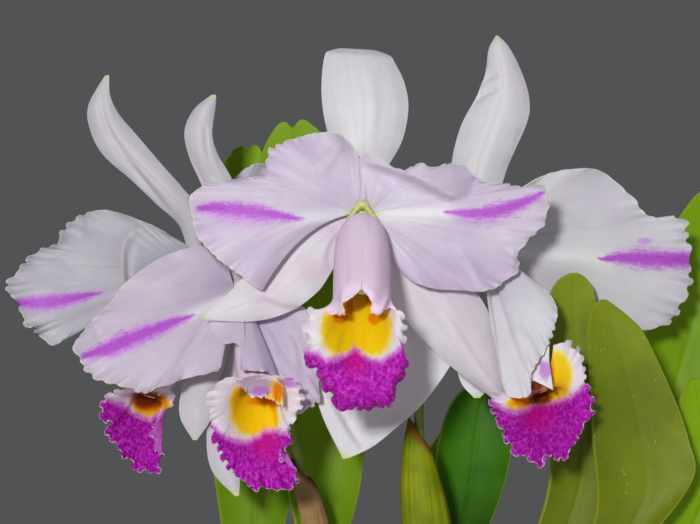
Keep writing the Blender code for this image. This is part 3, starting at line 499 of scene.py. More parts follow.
def lip_finish():
    material = new_finish("lip_colours", 0.5, Subsurface_Weight=0.1, Subsurface_Scale=0.0015,
                          Specular_IOR_Level=0.2)
    space = place()
    crumbs = add("TexVoronoi", {"Vector": space, "Scale": 2100.0}).outputs["Distance"]
    cloud = noise(space, 560.0, 5.0, 0.65)
    fray = around_half(noise(space, 380.0, 4.0, 0.65), 1.0)
    veins = noise(along_piece("around", 60.0, "along", 2.0), 1.0, 3.0, 0.6)
    ribs = noise(along_piece("around", 130.0, "along", 7.0), 1.0, 3.0, 0.6)

    def field(name, softness, low, high):
        frayed = plus(mark(name), times(fray, softness))
        return step(frayed, low, high)

    purple = mix(step(cloud, 0.42, 0.56), LIP_DARK, LIP_PURPLE)
    # Painted glints: light pink dots over the purple stand for its glitter.
    painted_glints = times(step(crumbs, 0.4, 0.75), step(cloud, 0.48, 0.62))
    purple = coat(purple, LIP_PINK_AND_GLINT, painted_glints, 0.5)
    purple = coat(purple, LIP_PINK_AND_GLINT, step(ribs, 0.56, 0.7), 0.35)
    purple = coat(purple, LIP_CORE, field("core", 0.7, 0.0, 0.8), 0.7)
    white = coat(LIP_WHITE, LIP_TUBE, step(veins, 0.5, 0.8), 0.4)
    inner = mix(field("gold", 0.3, 0.0, 0.22), white, GOLD_PALE)
    inner = mix(field("gold", 0.3, 0.1, 0.36), inner, GOLD)
    inner = coat(inner, LIP_PINK_AND_GLINT, field("purple", 0.6, 0.2, 0.55), 0.8)
    inner = mix(field("purple", 0.6, 0.36, 0.85), inner, purple)
    # Painted shade: a greyish mauve on the shaded underside of a side lobe.
    inner = coat(inner, LIP_LOBE_SHADE, field("lobe_shade", 0.3, 0.05, 0.5), 0.8)
    inner = coat(inner, LIP_STAIN, field("stain", 0.9, 0.05, 0.6), 0.75)
    # Orange eyes, and painted shade: the dark orange bands under a lip's roof or side lobe.
    inner = mix(field("ember_and_shade", 0.5, 0.05, 0.55), inner, EMBER_AND_SHADE)
    # Painted shade: dark brown deep inside the tubes of blooms c and d.
    inner = mix(field("throat_shade", 0.3, 0.05, 0.6), inner, THROAT_SHADE)
    soft = noise(along_piece("around", 14.0, "along", 3.0), 1.0, 3.0, 0.5)
    outer = mix(step(soft, 0.3, 0.75), LIP_TUBE, LIP_TUBE_DEEP)
    outer = coat(outer, LIP_PINK_AND_GLINT, field("purple", 0.6, 0.3, 0.7), 0.8)
    outer = coat(outer, purple, field("purple", 0.6, 0.6, 1.0), 0.6)
    seam = times(step(mark("seam"), 0.2, 1.0), 0.7)
    outer = mix(seam, outer, LIP_SEAM)
    body = mix(step(mark("inside"), 0.4, 0.6), outer, inner)
    rim = times(step(mark("edge"), 0.5, 1.0), 0.75)
    body = mix(rim, body, LIP_RIM)
    crumb = times(crumbs, mark("purple"))
    folds = times(ribs, mark("purple"))
    return settle(material, body, (soft, 0.15), (folds, 0.5), (crumb, 0.3), (cloud, 0.15))


def column_finish():
    material = new_finish("column_cream", 0.35, Subsurface_Weight=0.15, Subsurface_Scale=0.002)
    mottle = noise(place(), 300.0, 3.0)
    cream = mix(step(mottle, 0.3, 0.7), tint(238, 226, 226), tint(226, 204, 212))
    green = mix(step(mottle, 0.35, 0.65), tint(208, 218, 132), tint(176, 194, 92))
    frayed = plus(mark("along"), times(mottle, 0.12))
    body = mix(step(frayed, 0.3, 0.45), green, cream)
    return settle(material, body, (mottle, 0.15))


lip_colours = lip_finish()
column_cream = column_finish()
print("lip finishes:", lip_colours.name, column_cream.name)

# %% [markdown]
# ## Green and dry finishes
# Leaves, swollen stems, stalks and sheaths share one idea: two greens in clouds, fine streaks along
# the piece, and a wax gloss. Numbers set how yellow, how speckled and how glossy each one is.

# %% Leaf, bulb, stem and sheath materials
LEAF_RIM = tint(196, 196, 70)
LEAF_DOT = tint(206, 212, 150)
BULB_ROUGHNESS = (0.4, 0.4, 0.4, 1)
PAPER_ROUGHNESS = (0.8, 0.8, 0.8, 1)


def leaf_finish(name, speckles, *colours):
    bright, dark, deep = (tint(*colour) for colour in colours)
    material = new_finish(name, 0.5, Specular_IOR_Level=0.2)
    clouds = noise(place(), 24.0, 4.0, 0.55)
    streaks = noise(along_piece("across", 30.0, "along", 2.0), 1.0, 3.0, 0.6)
    fine = noise(place(), 900.0, 2.0)
    body = mix(step(clouds, 0.3, 0.7), bright, dark)
    body = coat(body, dark, step(streaks, 0.45, 0.8), 0.18)
    foot = step(minus(0.85, mark("along")), 0.0, 0.7)
    body = coat(body, deep, foot, 0.6)
    tip = step(mark("along"), 0.78, 1.0)
    body = coat(body, bright, tip, 0.6)
    rim = step(mark("edge"), 0.93, 1.0)
    body = coat(body, LEAF_RIM, rim, 0.45)
    drift = add("VectorMath", {0: place(), 1: (1.0, 1.0, 0.45)}, operation="MULTIPLY")
    dots = add("TexVoronoi", {"Vector": drift.outputs[0], "Scale": 520.0}).outputs["Distance"]
    patch = step(noise(place(), 60.0, 3.0), 0.48, 0.7)
    dot = times(step(minus(0.2, dots), 0.0, 0.12), patch)
    body = coat(body, LEAF_DOT, dot, speckles)
    return settle(material, body, (streaks, 0.08), (clouds, 0.4), (fine, 0.05))


def bulb_finish():
    material = new_finish("bulb_green", 0.42, Coat_Weight=0.2, Coat_Roughness=0.3)
    clouds = noise(place(), 60.0, 4.0)
    streaks = noise(along_piece("around", 34.0, "along", 1.6), 1.0, 4.0, 0.6)
    body = mix(step(clouds, 0.3, 0.7), tint(128, 140, 58), tint(92, 112, 40))
    body = coat(body, tint(70, 88, 30), step(streaks, 0.5, 0.75), 0.4)
    torn = plus(mark("along"), times(streaks, 0.5))
    paper = minus(1.0, step(torn, 0.66, 0.7))
    dry = mix(streaks, tint(206, 190, 158), tint(142, 118, 84))
    body = mix(paper, body, dry)
    dull = mix(paper, BULB_ROUGHNESS, PAPER_ROUGHNESS)
    Bench.tree.links.new(dull, Bench.tree.nodes["Principled BSDF"].inputs["Roughness"])
    return settle(material, body, (streaks, 0.6), (paper, 0.25))


def stem_finish():
    material = new_finish("stem_green", 0.45)
    clouds = noise(place(), 120.0, 3.0)
    streaks = noise(along_piece("around", 12.0, "along", 6.0), 1.0, 3.0)
    body = mix(step(clouds, 0.3, 0.7), tint(150, 168, 78), tint(120, 144, 54))
    body = coat(body, tint(96, 116, 40), step(streaks, 0.5, 0.8), 0.5)
    return settle(material, body, (streaks, 0.2))


def sheath_finish(name, *colours):
    bright, dark, rim_colour = (tint(*colour) for colour in colours)
    material = new_finish(name, 0.55, Specular_IOR_Level=0.2)
    veins = noise(along_piece("around", 60.0, "along", 1.2), 1.0, 2.0, 0.5)
    clouds = noise(place(), 50.0, 4.0)
    body = mix(step(clouds, 0.3, 0.7), bright, dark)
    body = coat(body, dark, step(veins, 0.45, 0.7), 0.6)
    frayed = plus(mark("along"), times(clouds, 0.1))
    body = mix(step(frayed, 0.96, 1.04), body, rim_colour)
    fold = step(mark("fold"), 0.8, 1.0)
    body = coat(body, rim_colour, fold, 0.7)
    return settle(material, body, (veins, 0.3), (clouds, 0.3))


leaf_front = leaf_finish("leaf_olive", 0.5, (136, 153, 28), (107, 124, 18), (84, 98, 10))
leaf_light = leaf_finish("leaf_bright", 0.25, (144, 186, 12), (122, 166, 8), (86, 122, 8))
# The leaf behind the blooms gets a darker green: painted shade.
leaf_shaded = leaf_finish("leaf_in_shade", 0.15, (72, 136, 4), (42, 98, 2), (22, 58, 0))
bulb_green = bulb_finish()
stem_green = stem_finish()
sheath_green = sheath_finish("sheath_green", (148, 160, 0), (108, 122, 0), (132, 74, 14))
sheath_dry = sheath_finish("sheath_dry", (184, 150, 98), (132, 100, 58), (96, 66, 36))
print("green finishes: 7")

# %% [markdown]
# ## Pot, bark and rhizome finishes
# Fired clay is a warm orange brown with pale mineral bloom and darker damp near its foot. Orchid
# bark is a mix of red-brown chips. The rhizome is a scaly green-brown runner.

# %% Clay, bark and rhizome materials
def clay_finish():
    material = new_finish("fired_clay", 0.82)
    space = place()
    broad = noise(space, 14.0, 4.0, 0.6)
    fine = noise(space, 420.0, 3.0)
    height = add("SeparateXYZ", {0: space}).outputs["Z"]
    rings = noise(add("CombineXYZ", {2: times(height, 700.0)}).outputs[0], 1.0, 3.0)
    body = mix(step(broad, 0.3, 0.7), tint(190, 112, 74), tint(168, 92, 60))
    body = coat(body, tint(205, 138, 100), step(rings, 0.5, 0.8), 0.25)
    bloom = step(noise(space, 30.0, 5.0, 0.7), 0.56, 0.72)
    body = coat(body, tint(222, 194, 170), bloom, 0.4)
    wet = step(minus(0.035, plus(height, times(broad, 0.02))), -0.01, 0.01)
    body = coat(body, tint(128, 70, 46), wet, 0.5)
    return settle(material, body, (rings, 0.25), (fine, 0.12))


def bark_finish():
    material = new_finish("bark_chips", 0.9)
    space = place()
    chips = add("TexVoronoi", {"Vector": space, "Scale": 90.0}).outputs["Color"]
    tone = noise(space, 45.0, 4.0)
    fibres = noise(space, 620.0, 4.0, 0.7)
    body = mix(step(tone, 0.3, 0.7), tint(104, 70, 46), tint(66, 42, 28))
    share = add("SeparateXYZ", {0: chips}).outputs["X"]
    body = coat(body, tint(134, 92, 60), share, 0.5)
    body = coat(body, tint(46, 30, 22), step(fibres, 0.5, 0.8), 0.4)
    return settle(material, body, (fibres, 0.5), (tone, 0.4))


def rhizome_finish():
    material = new_finish("rhizome_scaly", 0.62)
    scales = noise(along_piece("along", 70.0, "around", 1.5), 1.0, 2.0)
    clouds = noise(place(), 140.0, 4.0)
    body = mix(step(clouds, 0.3, 0.7), tint(122, 116, 66), tint(98, 84, 50))
    body = coat(body, tint(150, 124, 88), step(scales, 0.5, 0.65), 0.6)
    return settle(material, body, (scales, 0.5), (clouds, 0.3))


fired_clay = clay_finish()
bark_chips = bark_finish()
rhizome_scaly = rhizome_finish()
print("pot finishes:", fired_clay.name, bark_chips.name, rhizome_scaly.name)

# %% [markdown]
# ## Where everything goes
# These tables repeat the construction's driving points: bulbs and stalks in millimetres, leaves and
# blooms on the front view. The finer pieces follow them, so they lie where the plain solids lie.

# %% Bulbs, runners, leaves and stalks
# A bulb: base x and y on the bark, then x, y and z of its top
BULBS = {
    1: ((46, -2), (84, 6, 232)),
    2: ((38, 16), (60, 24, 240)),
    3: ((41, 39), (76, 60, 245)),
    4: ((56, 24), (98, 34, 228)),
    5: ((10, 44), (28, 74, 226)),
    6: ((20, 25), (38, 48, 262)),
    7: ((-38, 30), (-48, 66, 240)),
    8: ((-15, 22), (-14, 48, 258)),
}
RHIZOME_RUNS = [
    [(-50, 34), (-38, 30), (-15, 22), (3, 24), (20, 25), (38, 16), (46, -2), (50, -16)],
    [(38, 16), (48, 21), (56, 24)],
    [(38, 16), (42, 28), (41, 39)],
    [(20, 25), (16, 34), (10, 44)],
]
ROOT_PLACES = [(-44, 31.5), (-27, 26), (-6, 22.2), (12, 25), (29, 22), (43, 6)]

# A leaf's stations above its root: left x, y, right x, y, then depth at left, middle, right
LEAVES = {
    1: [(552, 640, 578, 626, 12, 15, 12), (577, 575, 640, 548, 15, 19, 15),
        (597, 510, 692, 482, 17, 22, 17), (593, 440, 689, 440, 19, 23, 19),
        (590, 385, 670, 388, 20, 23, 20), (587, 342, 645, 335, 20, 22, 20),
        (589, 322, 631, 319, 20, 22, 20), (593, 308, 618, 308, 20, 21, 20),
        (601, 300, 607, 300, 20, 20, 20)],
    2: [(502, 612, 540, 598, 26, 29, 26), (530, 550, 588, 535, 27, 31, 27),
        (550, 480, 612, 470, 28, 32, 28), (548, 400, 612, 400, 28, 31, 28),
        (547, 340, 604, 336, 28, 30, 28), (549, 302, 596, 301, 27, 29, 27),
        (554, 286, 592, 286, 27, 28, 27), (562, 277, 585, 277, 27, 27, 27),
        (570, 273, 578, 273, 27, 27, 27)],
    3: [(535, 590, 570, 572, 62, 66, 62), (585, 505, 650, 475, 70, 75, 70),
        (622, 420, 708, 400, 76, 81, 76), (644, 340, 734, 330, 80, 85, 80),
        (660, 270, 745, 262, 82, 86, 82), (674, 229, 749, 222, 83, 87, 83),
        (690, 203, 744, 199, 84, 86, 84), (705, 188, 733, 186, 84, 85, 84),
        (716, 181, 723, 181, 84, 84, 84)],
    4: [(590, 645, 618, 624, 37, 39, 37), (640, 575, 700, 545, 39, 43, 39),
        (668, 500, 742, 488, 40, 44, 40), (676, 440, 739, 440, 40, 43, 40),
        (680, 402, 717, 402, 39, 41, 39), (690, 379, 699, 379, 38, 38, 38)],
    5: [(402, 620, 436, 614, 88, 90, 88), (411, 560, 470, 550, 100, 104, 100),
        (420, 500, 482, 495, 110, 114, 110), (424, 460, 474, 458, 115, 118, 115),
        (440, 433, 458, 433, 118, 118, 118)],
    6: [(430, 560, 474, 556, 66, 69, 66), (434, 500, 503, 490, 80, 84, 80),
        (439, 440, 514, 428, 91, 95, 91), (455, 398, 512, 392, 96, 99, 96),
        (486, 374, 505, 373, 99, 99, 99)],
    7: [(232, 585, 268, 580, 78, 81, 78), (218, 500, 292, 490, 90, 95, 90),
        (205, 400, 290, 395, 98, 103, 98), (204, 300, 282, 298, 102, 107, 102),
        (211, 215, 272, 213, 104, 108, 104), (220, 172, 266, 170, 105, 107, 105),
        (226, 157, 264, 154, 105, 106, 105), (236, 146, 259, 144, 105, 105, 105)],
    8: [(304, 560, 340, 560, 62, 65, 62), (286, 480, 362, 474, 78, 83, 78),
        (270, 380, 360, 375, 88, 93, 88), (258, 280, 346, 278, 93, 98, 93),
        (254, 200, 338, 196, 95, 99, 95), (261, 158, 330, 152, 96, 98, 96),
        (268, 137, 322, 132, 96, 97, 96), (277, 122, 308, 118, 96, 96, 96)],
}

# Flower stems: each stalk's bloom, and its points in millimetres up to the bloom's back
STEMS = {
    1: [("a", [(38, 45.4, 262.6), (37, 45.6, 300), (33.5, 47, 340), (32.5, 49, 378), (30, 49, 404),
               (21, 43, 428), (11, 31, 445), (6.5, 20, 451)]),
        ("d", [(32.5, 49, 378), (37, 54, 404), (49, 56, 426), (58, 50, 436)])],
    2: [("b", [(-14, 45.4, 258.6), (-15.5, 45.8, 300), (-25, 50, 336), (-33, 56, 366),
               (-42, 59, 392), (-50, 57, 409)]),
        ("c", [(-33, 56, 366), (-45, 68, 388), (-60, 74, 410), (-71, 71, 424)])],
}

print("leaves:", len(LEAVES), "bulbs:", len(BULBS))

# %% [markdown]
# ## The four blooms
# A bloom has a hub, three sepals, two petals and a lip. A petal is an outline round a base, and a
# sepal is a row of stations from its root to its tip. The lip is a tube that opens into an outline.
# Traced places like these are the quickest way to a shape that nobody could guess.

# %% Blooms on the front view
# A point is x, y, depth. A sepal's station is left x, y, right x, y, then depth at left, middle
# and right. A lip's outline runs from the left of its seam, down and round, to the right of it.
BLOOMS = {
    "a": {
        "hub": (362, 213, 1), "mouth": (362, 300, -40), "mouth_radius": 12.2, "seam": (0, -1, 0.9),
        "bulge": 14.0, "swell": 0.09, "slant": 3.0, "calm": 0.11,
        "sepals": [
            [(357, 208, 368, 208, 3, 3, 3), (345, 165, 387, 168, 5, 3, 5),
             (330, 138, 402, 140, 7, 2, 7), (323, 108, 408, 108, 8, 2, 8),
             (322, 80, 404, 83, 11, 5, 11), (325, 56, 395, 64, 15, 10, 15),
             (331, 51, 389, 56, 18, 14, 18), (345, 49, 371, 50.5, 24, 21, 24),
             (361, 56, 365, 56, 31, 31, 31)],
            [(346, 208, 360, 228, 4, 3, 3), (302, 218, 337, 262, 6, 3, 4),
             (266, 248, 318, 291, 7, 4, 6), (246, 274, 288, 312, 8, 5, 7),
             (228, 294, 252, 321, 8, 6, 8), (202, 317, 205, 320, 8, 8, 8)],
            [(366, 228, 377, 221, 3, 3, 3), (384, 262, 412, 238, 5, 2, 5),
             (389, 292, 446, 262, 7, 2, 8), (408, 322, 480, 298, 8, 2, 9),
             (448, 363, 500, 344, 9, 3, 9), (484, 391, 505, 386, 9, 5, 8),
             (499, 403, 502, 401, 8, 8, 8)],
        ],
        "petals": [
            {"base": (357, 213, -1), "ruffle": 1.8, "bow": -3.0, "outline": [
                (364, 197, 0.8), (364, 178, 0.5), (360, 161, 0.5), (352, 147, 0), (341, 136, 0),
                (328, 132, -1), (300, 137, -3),
                (272, 148, -4), (267, 160, -3), (262, 174, -3), (250, 178, -4), (235, 180, -5),
                (215, 183, -5), (200, 188, -6), (190, 197, -6), (192, 215, -7), (197, 235, -8),
                (206, 247, -8), (222, 262, -8), (240, 275, -7), (254, 286, -4),
                (262, 290, -2)], "sweep": (-4, -16)},
            {"base": (369, 213, -1), "ruffle": 1.9, "bow": -3.0, "outline": [
                (357, 198, -2.5), (359, 176, -3), (360, 158, -3), (372, 154, -3), (400, 170, -3),
                (419, 164, -3),
                (434, 167, -3), (448, 164, -4), (466, 168, -4), (482, 182, -4), (501, 183, -5),
                (521, 187, -5), (542, 186, -5), (547, 196, -6), (546, 220, -7), (539, 230, -6),
                (527, 241, -5), (517, 254, -4), (519, 268, -3), (508, 279, -2), (487, 291, -4),
                (462, 290, -6), (431, 288, -7), (407, 277, -6), (389, 255, -5), (384, 236, -3),
                (377, 222, -2)]},
        ],
        "lip": [(361, 289, -50), (354, 296, -51), (346, 301, -51), (342, 305, -51), (345, 313, -50),
                (334, 315, -45), (322, 310, -44), (311, 310, -45), (305, 321, -47), (305, 335, -49),
                (309, 342, -49), (306, 349, -50), (302, 358, -50), (308, 366, -49), (317, 370, -48),
                (321, 384, -46), (330, 395, -45), (341, 410, -44), (356, 407, -44), (368, 413, -43),
                (380, 407, -44), (389, 406, -45), (397, 391, -46), (402, 381, -47), (407, 366, -49),
                (407, 352, -50), (403, 345, -49), (405, 326, -47), (399, 312, -45), (388, 308, -45),
                (380, 313, -50), (371, 312, -50), (372, 302, -51), (362, 289, -50)],
        "spacing": [(0, 0), (0.18, 0.085), (0.26, 0.165), (0.5, 0.5), (0.74, 0.835), (0.83, 0.93),
                    (1, 1)],
    },
    "b": {
        "hub": (240, 290, 34), "mouth": (258, 389, 9), "mouth_radius": 8.6, "seam": (0.1, -1, 0.4),
        "bulge": 8.0,
        "sepals": [
            [(232, 283, 244, 281, 34, 33, 34), (216, 232, 240, 228, 32, 29, 31),
             (204, 190, 233, 183, 30, 26, 28), (190, 158, 218, 156, 28, 24, 26),
             (185, 132, 212, 134, 27, 23, 25), (194, 110, 215, 107, 26, 23, 25),
             (212, 95, 216, 95, 25, 25, 25)],
            [(230, 295, 238, 300, 38, 37, 38), (205, 340, 230, 346, 38, 36, 38),
             (184, 385, 217, 388, 33, 31, 33), (180, 415, 212, 416, 29, 27, 29),
             (193, 440, 197, 440, 27, 27, 27)],
            [(236, 300, 246, 298, 38, 38, 38), (226, 346, 252, 345, 42, 40, 42),
             (214, 395, 248, 395, 38, 36, 38), (207, 435, 243, 435, 32, 30, 32),
             (212, 470, 240, 468, 28, 26, 28), (235, 496, 239, 496, 25, 25, 25)],
        ],
        "petals": [
            {"base": (235, 290, 31), "ruffle": 1.7, "bow": -2.0, "outline": [
                (228, 268, 27), (202, 246, 20), (188, 248, 18), (163, 257, 15), (143, 269, 13),
                (122, 286, 11), (112, 300, 9), (93, 320, 6), (74, 345, 4), (78, 356, 4),
                (88, 373, 4), (104, 382, 4), (118, 385, 4), (145, 393, 5), (155, 388, 6),
                (169, 385, 7), (180, 380, 9), (200, 375, 11), (219, 369, 13), (225, 340, 19),
                (228, 312, 25)]},
            {"base": (243, 290, 31), "ruffle": 1.1, "bow": -6.0, "outline": [
                (238, 299, 24), (222, 315, 16), (210, 324, 12), (222, 343, 7), (235, 343, 5),
                (243, 351, 2), (245, 358, 0), (241, 369, -3), (254, 371, -3), (266, 372, -1),
                (278, 379, 4), (286, 396, 7), (294, 414, 8), (305, 410, 7), (320, 399, 8),
                (318, 384, 9), (326, 350, 12), (318, 322, 14), (292, 300, 19), (264, 285, 27)]},
        ],
        "lip": [(245, 380, -7), (228, 378, -9), (214, 386, -11), (208, 405, -12), (211, 425, -12),
                (215, 441, -12), (222, 457, -12), (229, 467, -12), (236, 475, -12), (248, 484, -11),
                (264, 490, -10), (276, 489, -9), (287, 491, -8), (297, 482, -7), (295, 469, -7),
                (284, 463, -8), (282, 452, -9), (292, 443, -9), (288, 431, -9), (293, 420, -9),
                (302, 405, -8), (299, 386, -8), (286, 376, -8), (270, 377, -8), (256, 379, -7)],
    },
    "c": {
        "hub": (195, 268, 48), "mouth": (150, 398, 36), "mouth_radius": 9.0,
        "seam": (-0.2, -1, 0.3), "bulge": 6.0,
        "sepals": [
            [(190, 260, 201, 255, 48, 47, 48), (180, 226, 199, 212, 47, 44, 46),
             (157, 204, 182, 188, 46, 41, 44), (132, 180, 160, 163, 45, 40, 43),
             (103, 154, 137, 136, 44, 39, 42), (90, 128, 119, 115, 43, 38, 41),
             (89, 105, 110, 96, 42, 39, 40), (105, 76, 109, 75, 41, 41, 41)],
            [(186, 271, 195, 277, 53, 52, 53), (160, 300, 186, 316, 57, 55, 57),
             (135, 335, 166, 354, 57, 55, 57), (120, 358, 146, 374, 54, 52, 54),
             (116, 377, 121, 380, 51, 51, 51)],
            [(192, 277, 202, 276, 54, 53, 54), (180, 320, 208, 320, 62, 60, 62),
             (176, 360, 204, 362, 63, 61, 63), (182, 392, 200, 393, 62, 60, 62),
             (190, 408, 194, 408, 60, 60, 60)],
        ],
        "petals": [
            {"base": (190, 267, 46), "ruffle": 1.9, "bow": -2.0, "outline": [
                (188, 252, 46), (170, 236, 43), (156, 227, 41), (125, 215, 38), (103, 210, 36),
                (85, 214, 34), (67, 225, 32), (54, 245, 30), (38, 250, 28), (24, 263, 27),
                (6, 287, 25), (18, 302, 25), (22, 318, 26), (33, 329, 27), (42, 337, 28),
                (51, 346, 29), (61, 341, 31), (77, 328, 33), (92, 322, 35), (125, 312, 39),
                (160, 296, 42), (180, 280, 44)]},
            {"base": (200, 266, 50), "ruffle": 1.4, "bow": 2.0, "outline": [
                (206, 250, 54), (215, 215, 60), (232, 182, 66), (255, 164, 71), (280, 168, 76),
                (300, 187, 79), (305, 215, 80), (292, 243, 78), (265, 258, 72), (235, 262, 64),
                (214, 264, 57)]},
        ],
        "lip": [(147, 388, 24), (136, 387, 23), (120, 390, 21), (108, 395, 20), (102, 403, 19),
                (101, 417, 18), (111, 425, 18), (108, 436, 18), (118, 448, 18), (127, 459, 19),
                (134, 468, 20), (145, 472, 21), (155, 473, 22), (160, 464, 23), (162, 455, 24),
                (154, 446, 25), (153, 431, 27), (160, 414, 30), (171, 406, 32), (175, 396, 33),
                (168, 389, 31), (157, 388, 27)],
    },
    "d": {
        "hub": (480, 245, 28), "mouth": (543, 393, 8), "mouth_radius": 7.4, "seam": (-0.1, -1, 0.4),
        "bulge": 8.0, "calm": 0.02,
        "sepals": [
            [(475, 238, 486, 237, 28, 27, 28), (457, 200, 497, 200, 27, 23, 27),
             (452, 165, 508, 165, 28, 22, 27), (461, 127, 526, 124, 29, 23, 28),
             (476, 98, 529, 100, 30, 24, 29), (486, 72, 521, 72, 31, 26, 30),
             (489, 50, 509, 48, 32, 29, 31), (496, 36, 498, 36, 33, 33, 33)],
            [(471, 247, 480, 257, 31, 31, 31), (425, 262, 478, 312, 25, 27, 25),
             (375, 300, 452, 363, 20, 23, 20), (335, 345, 424, 402, 19, 21, 18),
             (317, 385, 396, 428, 17, 19, 16), (322, 415, 372, 447, 16, 18, 15),
             (343, 459, 349, 458, 15, 15, 15)],
            [(477, 253, 487, 253, 33, 33, 33), (462, 300, 500, 300, 36, 34, 36),
             (455, 345, 502, 345, 35, 33, 35), (460, 380, 492, 382, 32, 31, 32),
             (474, 398, 480, 398, 30, 30, 30)],
        ],
        "petals": [
            {"base": (484, 243, 28), "ruffle": 1.9, "bow": 3.0, "outline": [
                (490, 228, 28), (500, 205, 29), (522, 188, 31), (545, 175, 33), (572, 169, 35),
                (598, 170, 37), (616, 182, 38), (634, 199, 39), (645, 213, 40), (665, 222, 41),
                (672, 216, 41), (688, 224, 41), (686, 236, 41), (691, 250, 41), (689, 268, 42),
                (690, 286, 42), (672, 320, 43), (650, 329, 43), (610, 335, 42), (570, 325, 40),
                (535, 300, 37), (505, 268, 32)]},
            {"base": (483, 247, 24.5), "ruffle": 0.9, "bow": -5.0, "outline": [
                (479, 262, 18), (487, 294, 7), (492, 330, 1), (499, 365, -5), (506, 393, -9),
                (518, 398, -10), (530, 394, -10), (532, 373, -10), (547, 347, -9), (555, 325, -6),
                (557, 309, -3), (548, 292, 3), (530, 278, 9), (505, 258, 17)]},
        ],
        "lip": [(545, 347, -2), (537, 358, -1), (528, 376, 0), (508, 390, 0), (490, 399, -2),
                (494, 413, -6), (501, 428, -10), (507, 442, -13), (515, 453, -15), (526, 455, -15),
                (532, 463, -15), (539, 466, -15), (547, 455, -15), (558, 460, -15), (567, 454, -14),
                (576, 443, -12), (580, 428, -10), (590, 420, -8), (593, 402, -6), (586, 384, -5),
                (584, 365, -5), (578, 349, -5), (566, 343, -5), (553, 344, -3)],
    },
}

print("blooms:", ", ".join(BLOOMS))

# %% [markdown]
# ## Colour fields and folds of the blooms
# On a real bloom the flames, the eyes and the purple lobe are pigments in the cells. Here each is a
# soft field on the front view: a flame is a line with a half width, an eye is an ellipse, and the
# purple begins under a line. Some eye fields paint shade instead: dark brown deep in a tube, and
# dark orange under a roof or side lobe. Folds are lines too, and push the petal from the eye or to
# it.

# %% Colour fields
# A flame: rows of x, y and half width, and how far its haze spreads left and right of that line
FLAMES = {
    ("a", 0): {"rows": [(301, 219, 1.5), (278, 215, 7), (256, 212, 11), (235, 209.5, 12),
                        (215, 208, 9), (198, 208.5, 3)], "haze": (1.8, 1.1)},
    ("a", 1): {"rows": [(447, 212, 1.5), (466, 213.5, 6.5), (486, 213, 10.5), (503, 209, 11),
                        (521, 203, 8), (543, 193, 2)], "haze": (1.0, 1.6)},
    ("b", 0): {"rows": [(192, 316, 1.5), (171, 323, 8), (148, 332, 11), (126, 341, 13),
                        (107, 349, 12), (84, 356, 4)], "haze": (1.3, 1.1)},
    ("c", 0): {"rows": [(100, 293, 1.5), (76, 297.5, 7), (57, 301, 11), (38, 303, 11),
                        (17, 302, 5)], "haze": (1.4, 0.9)},
    ("d", 0): {"rows": [(601, 259, 1.5), (616, 257.5, 7), (636, 258, 12), (654, 259, 13.5),
                        (671, 260, 13.5), (690, 259, 11)], "haze": (1.2, 1.2)},
}
FLAME_SPOTS = {("d", 0): [(645, 241, 12, 6)]}
PURPLE_LINES = {
    "a": [(290, 345), (303, 351), (318, 353), (326, 360), (338, 358), (346, 355), (354.5, 348),
          (363, 355), (374, 360), (383, 361), (394, 353), (401, 346), (420, 343)],
    "b": [(200, 418), (211, 424), (218, 431), (228, 438), (240, 442), (248, 441), (257, 437),
          (265, 431), (273, 430), (280, 432), (290, 433), (310, 434)],
    "c": [(95, 398), (110, 400), (122, 404), (135, 414), (150, 420), (160, 412), (180, 406)],
    "d": [(485, 395), (502, 408), (514, 412), (527, 409), (535, 404), (550, 403), (558, 401),
          (567, 398), (575, 394), (584, 385), (600, 378)],
}
# Most eye fields are pigment. The dark brown deep in a tube is painted shade, and so are some dark
# orange ellipses under a roof or side lobe.
EYES = {
    "a": {"gold": [(341, 330, 25, 32), (372, 330, 24, 33), (360, 305, 17, 34), (356, 330, 20, 32)],
          "ember_and_shade": [(350.5, 306, 7, 8), (340.5, 318, 11, 8), (374, 319, 9, 8), (370, 297, 5, 14)],
          "core": [(355, 362, 18, 26)]},
    "b": {"gold": [(244, 404, 18, 25), (254, 414, 28, 28), (266, 418, 16, 24)],
          "ember_and_shade": [(274, 399, 9, 15), (259, 400, 18, 7)], "core": [(266, 446, 22, 22)],
          "stain": [(291, 382, 13, 8), (282, 383, 9, 6)]},
    "c": {"gold": [(152, 408, 23, 18)], "ember_and_shade": [(150, 402, 26, 16)],
          "throat_shade": [(146, 400, 22, 14)]},
    "d": {"gold": [(556, 376, 19, 31), (554, 396, 17, 16), (519, 405, 16, 11)],
          "ember_and_shade": [(522, 401, 16, 8), (550, 376, 6, 28)],
          "throat_shade": [(541, 397, 17, 14), (536, 386, 12, 9)], "core": [(537, 416, 24, 24)]},
}
LIP_FIELDS = ("gold", "ember_and_shade", "throat_shade", "core", "stain", "lobe_shade")
PURPLE_SOFTNESS = 17.0


def ellipses(x, y, rounds):
    """How far inside the nearest of some ellipses each place is: 1 at a middle, 0 outside."""
    inside = np.zeros(np.shape(x))
    for middle_x, middle_y, wide, tall in rounds:
        inside = np.maximum(inside, 1 - np.hypot((x - middle_x) / wide, (y - middle_y) / tall))
    return inside


def lip_fields(x, y, fields):
    """A mark for each colour field of a lip, and 0 everywhere where it has none."""
    return {name: ellipses(x, y, fields.get(name, [])) for name in LIP_FIELDS}


def flame_fields(x, y, key):
    """A flame's core and its feathered haze: 1 on its line, 0 outside."""
    if key not in FLAMES:
        return np.zeros(np.shape(x)), np.zeros(np.shape(x))
    rows = np.array(FLAMES[key]["rows"], float)
    left, right = FLAMES[key]["haze"]
    gap, along, side = near_line(x, y, rows[:, :2])
    run = np.concatenate([[0], np.cumsum(np.hypot(*np.diff(rows[:, :2], axis=0).T))])
    width = np.interp(along, run / run[-1], rows[:, 2])
    core = np.clip(1 - gap / width, 0, 1)
    haze = np.clip(1 - gap / (width * np.where(side > 0, right, left) + 2), 0, 1)
    return core, np.maximum(haze, ellipses(x, y, FLAME_SPOTS.get(key, [])))


print("flames:", len(FLAMES))

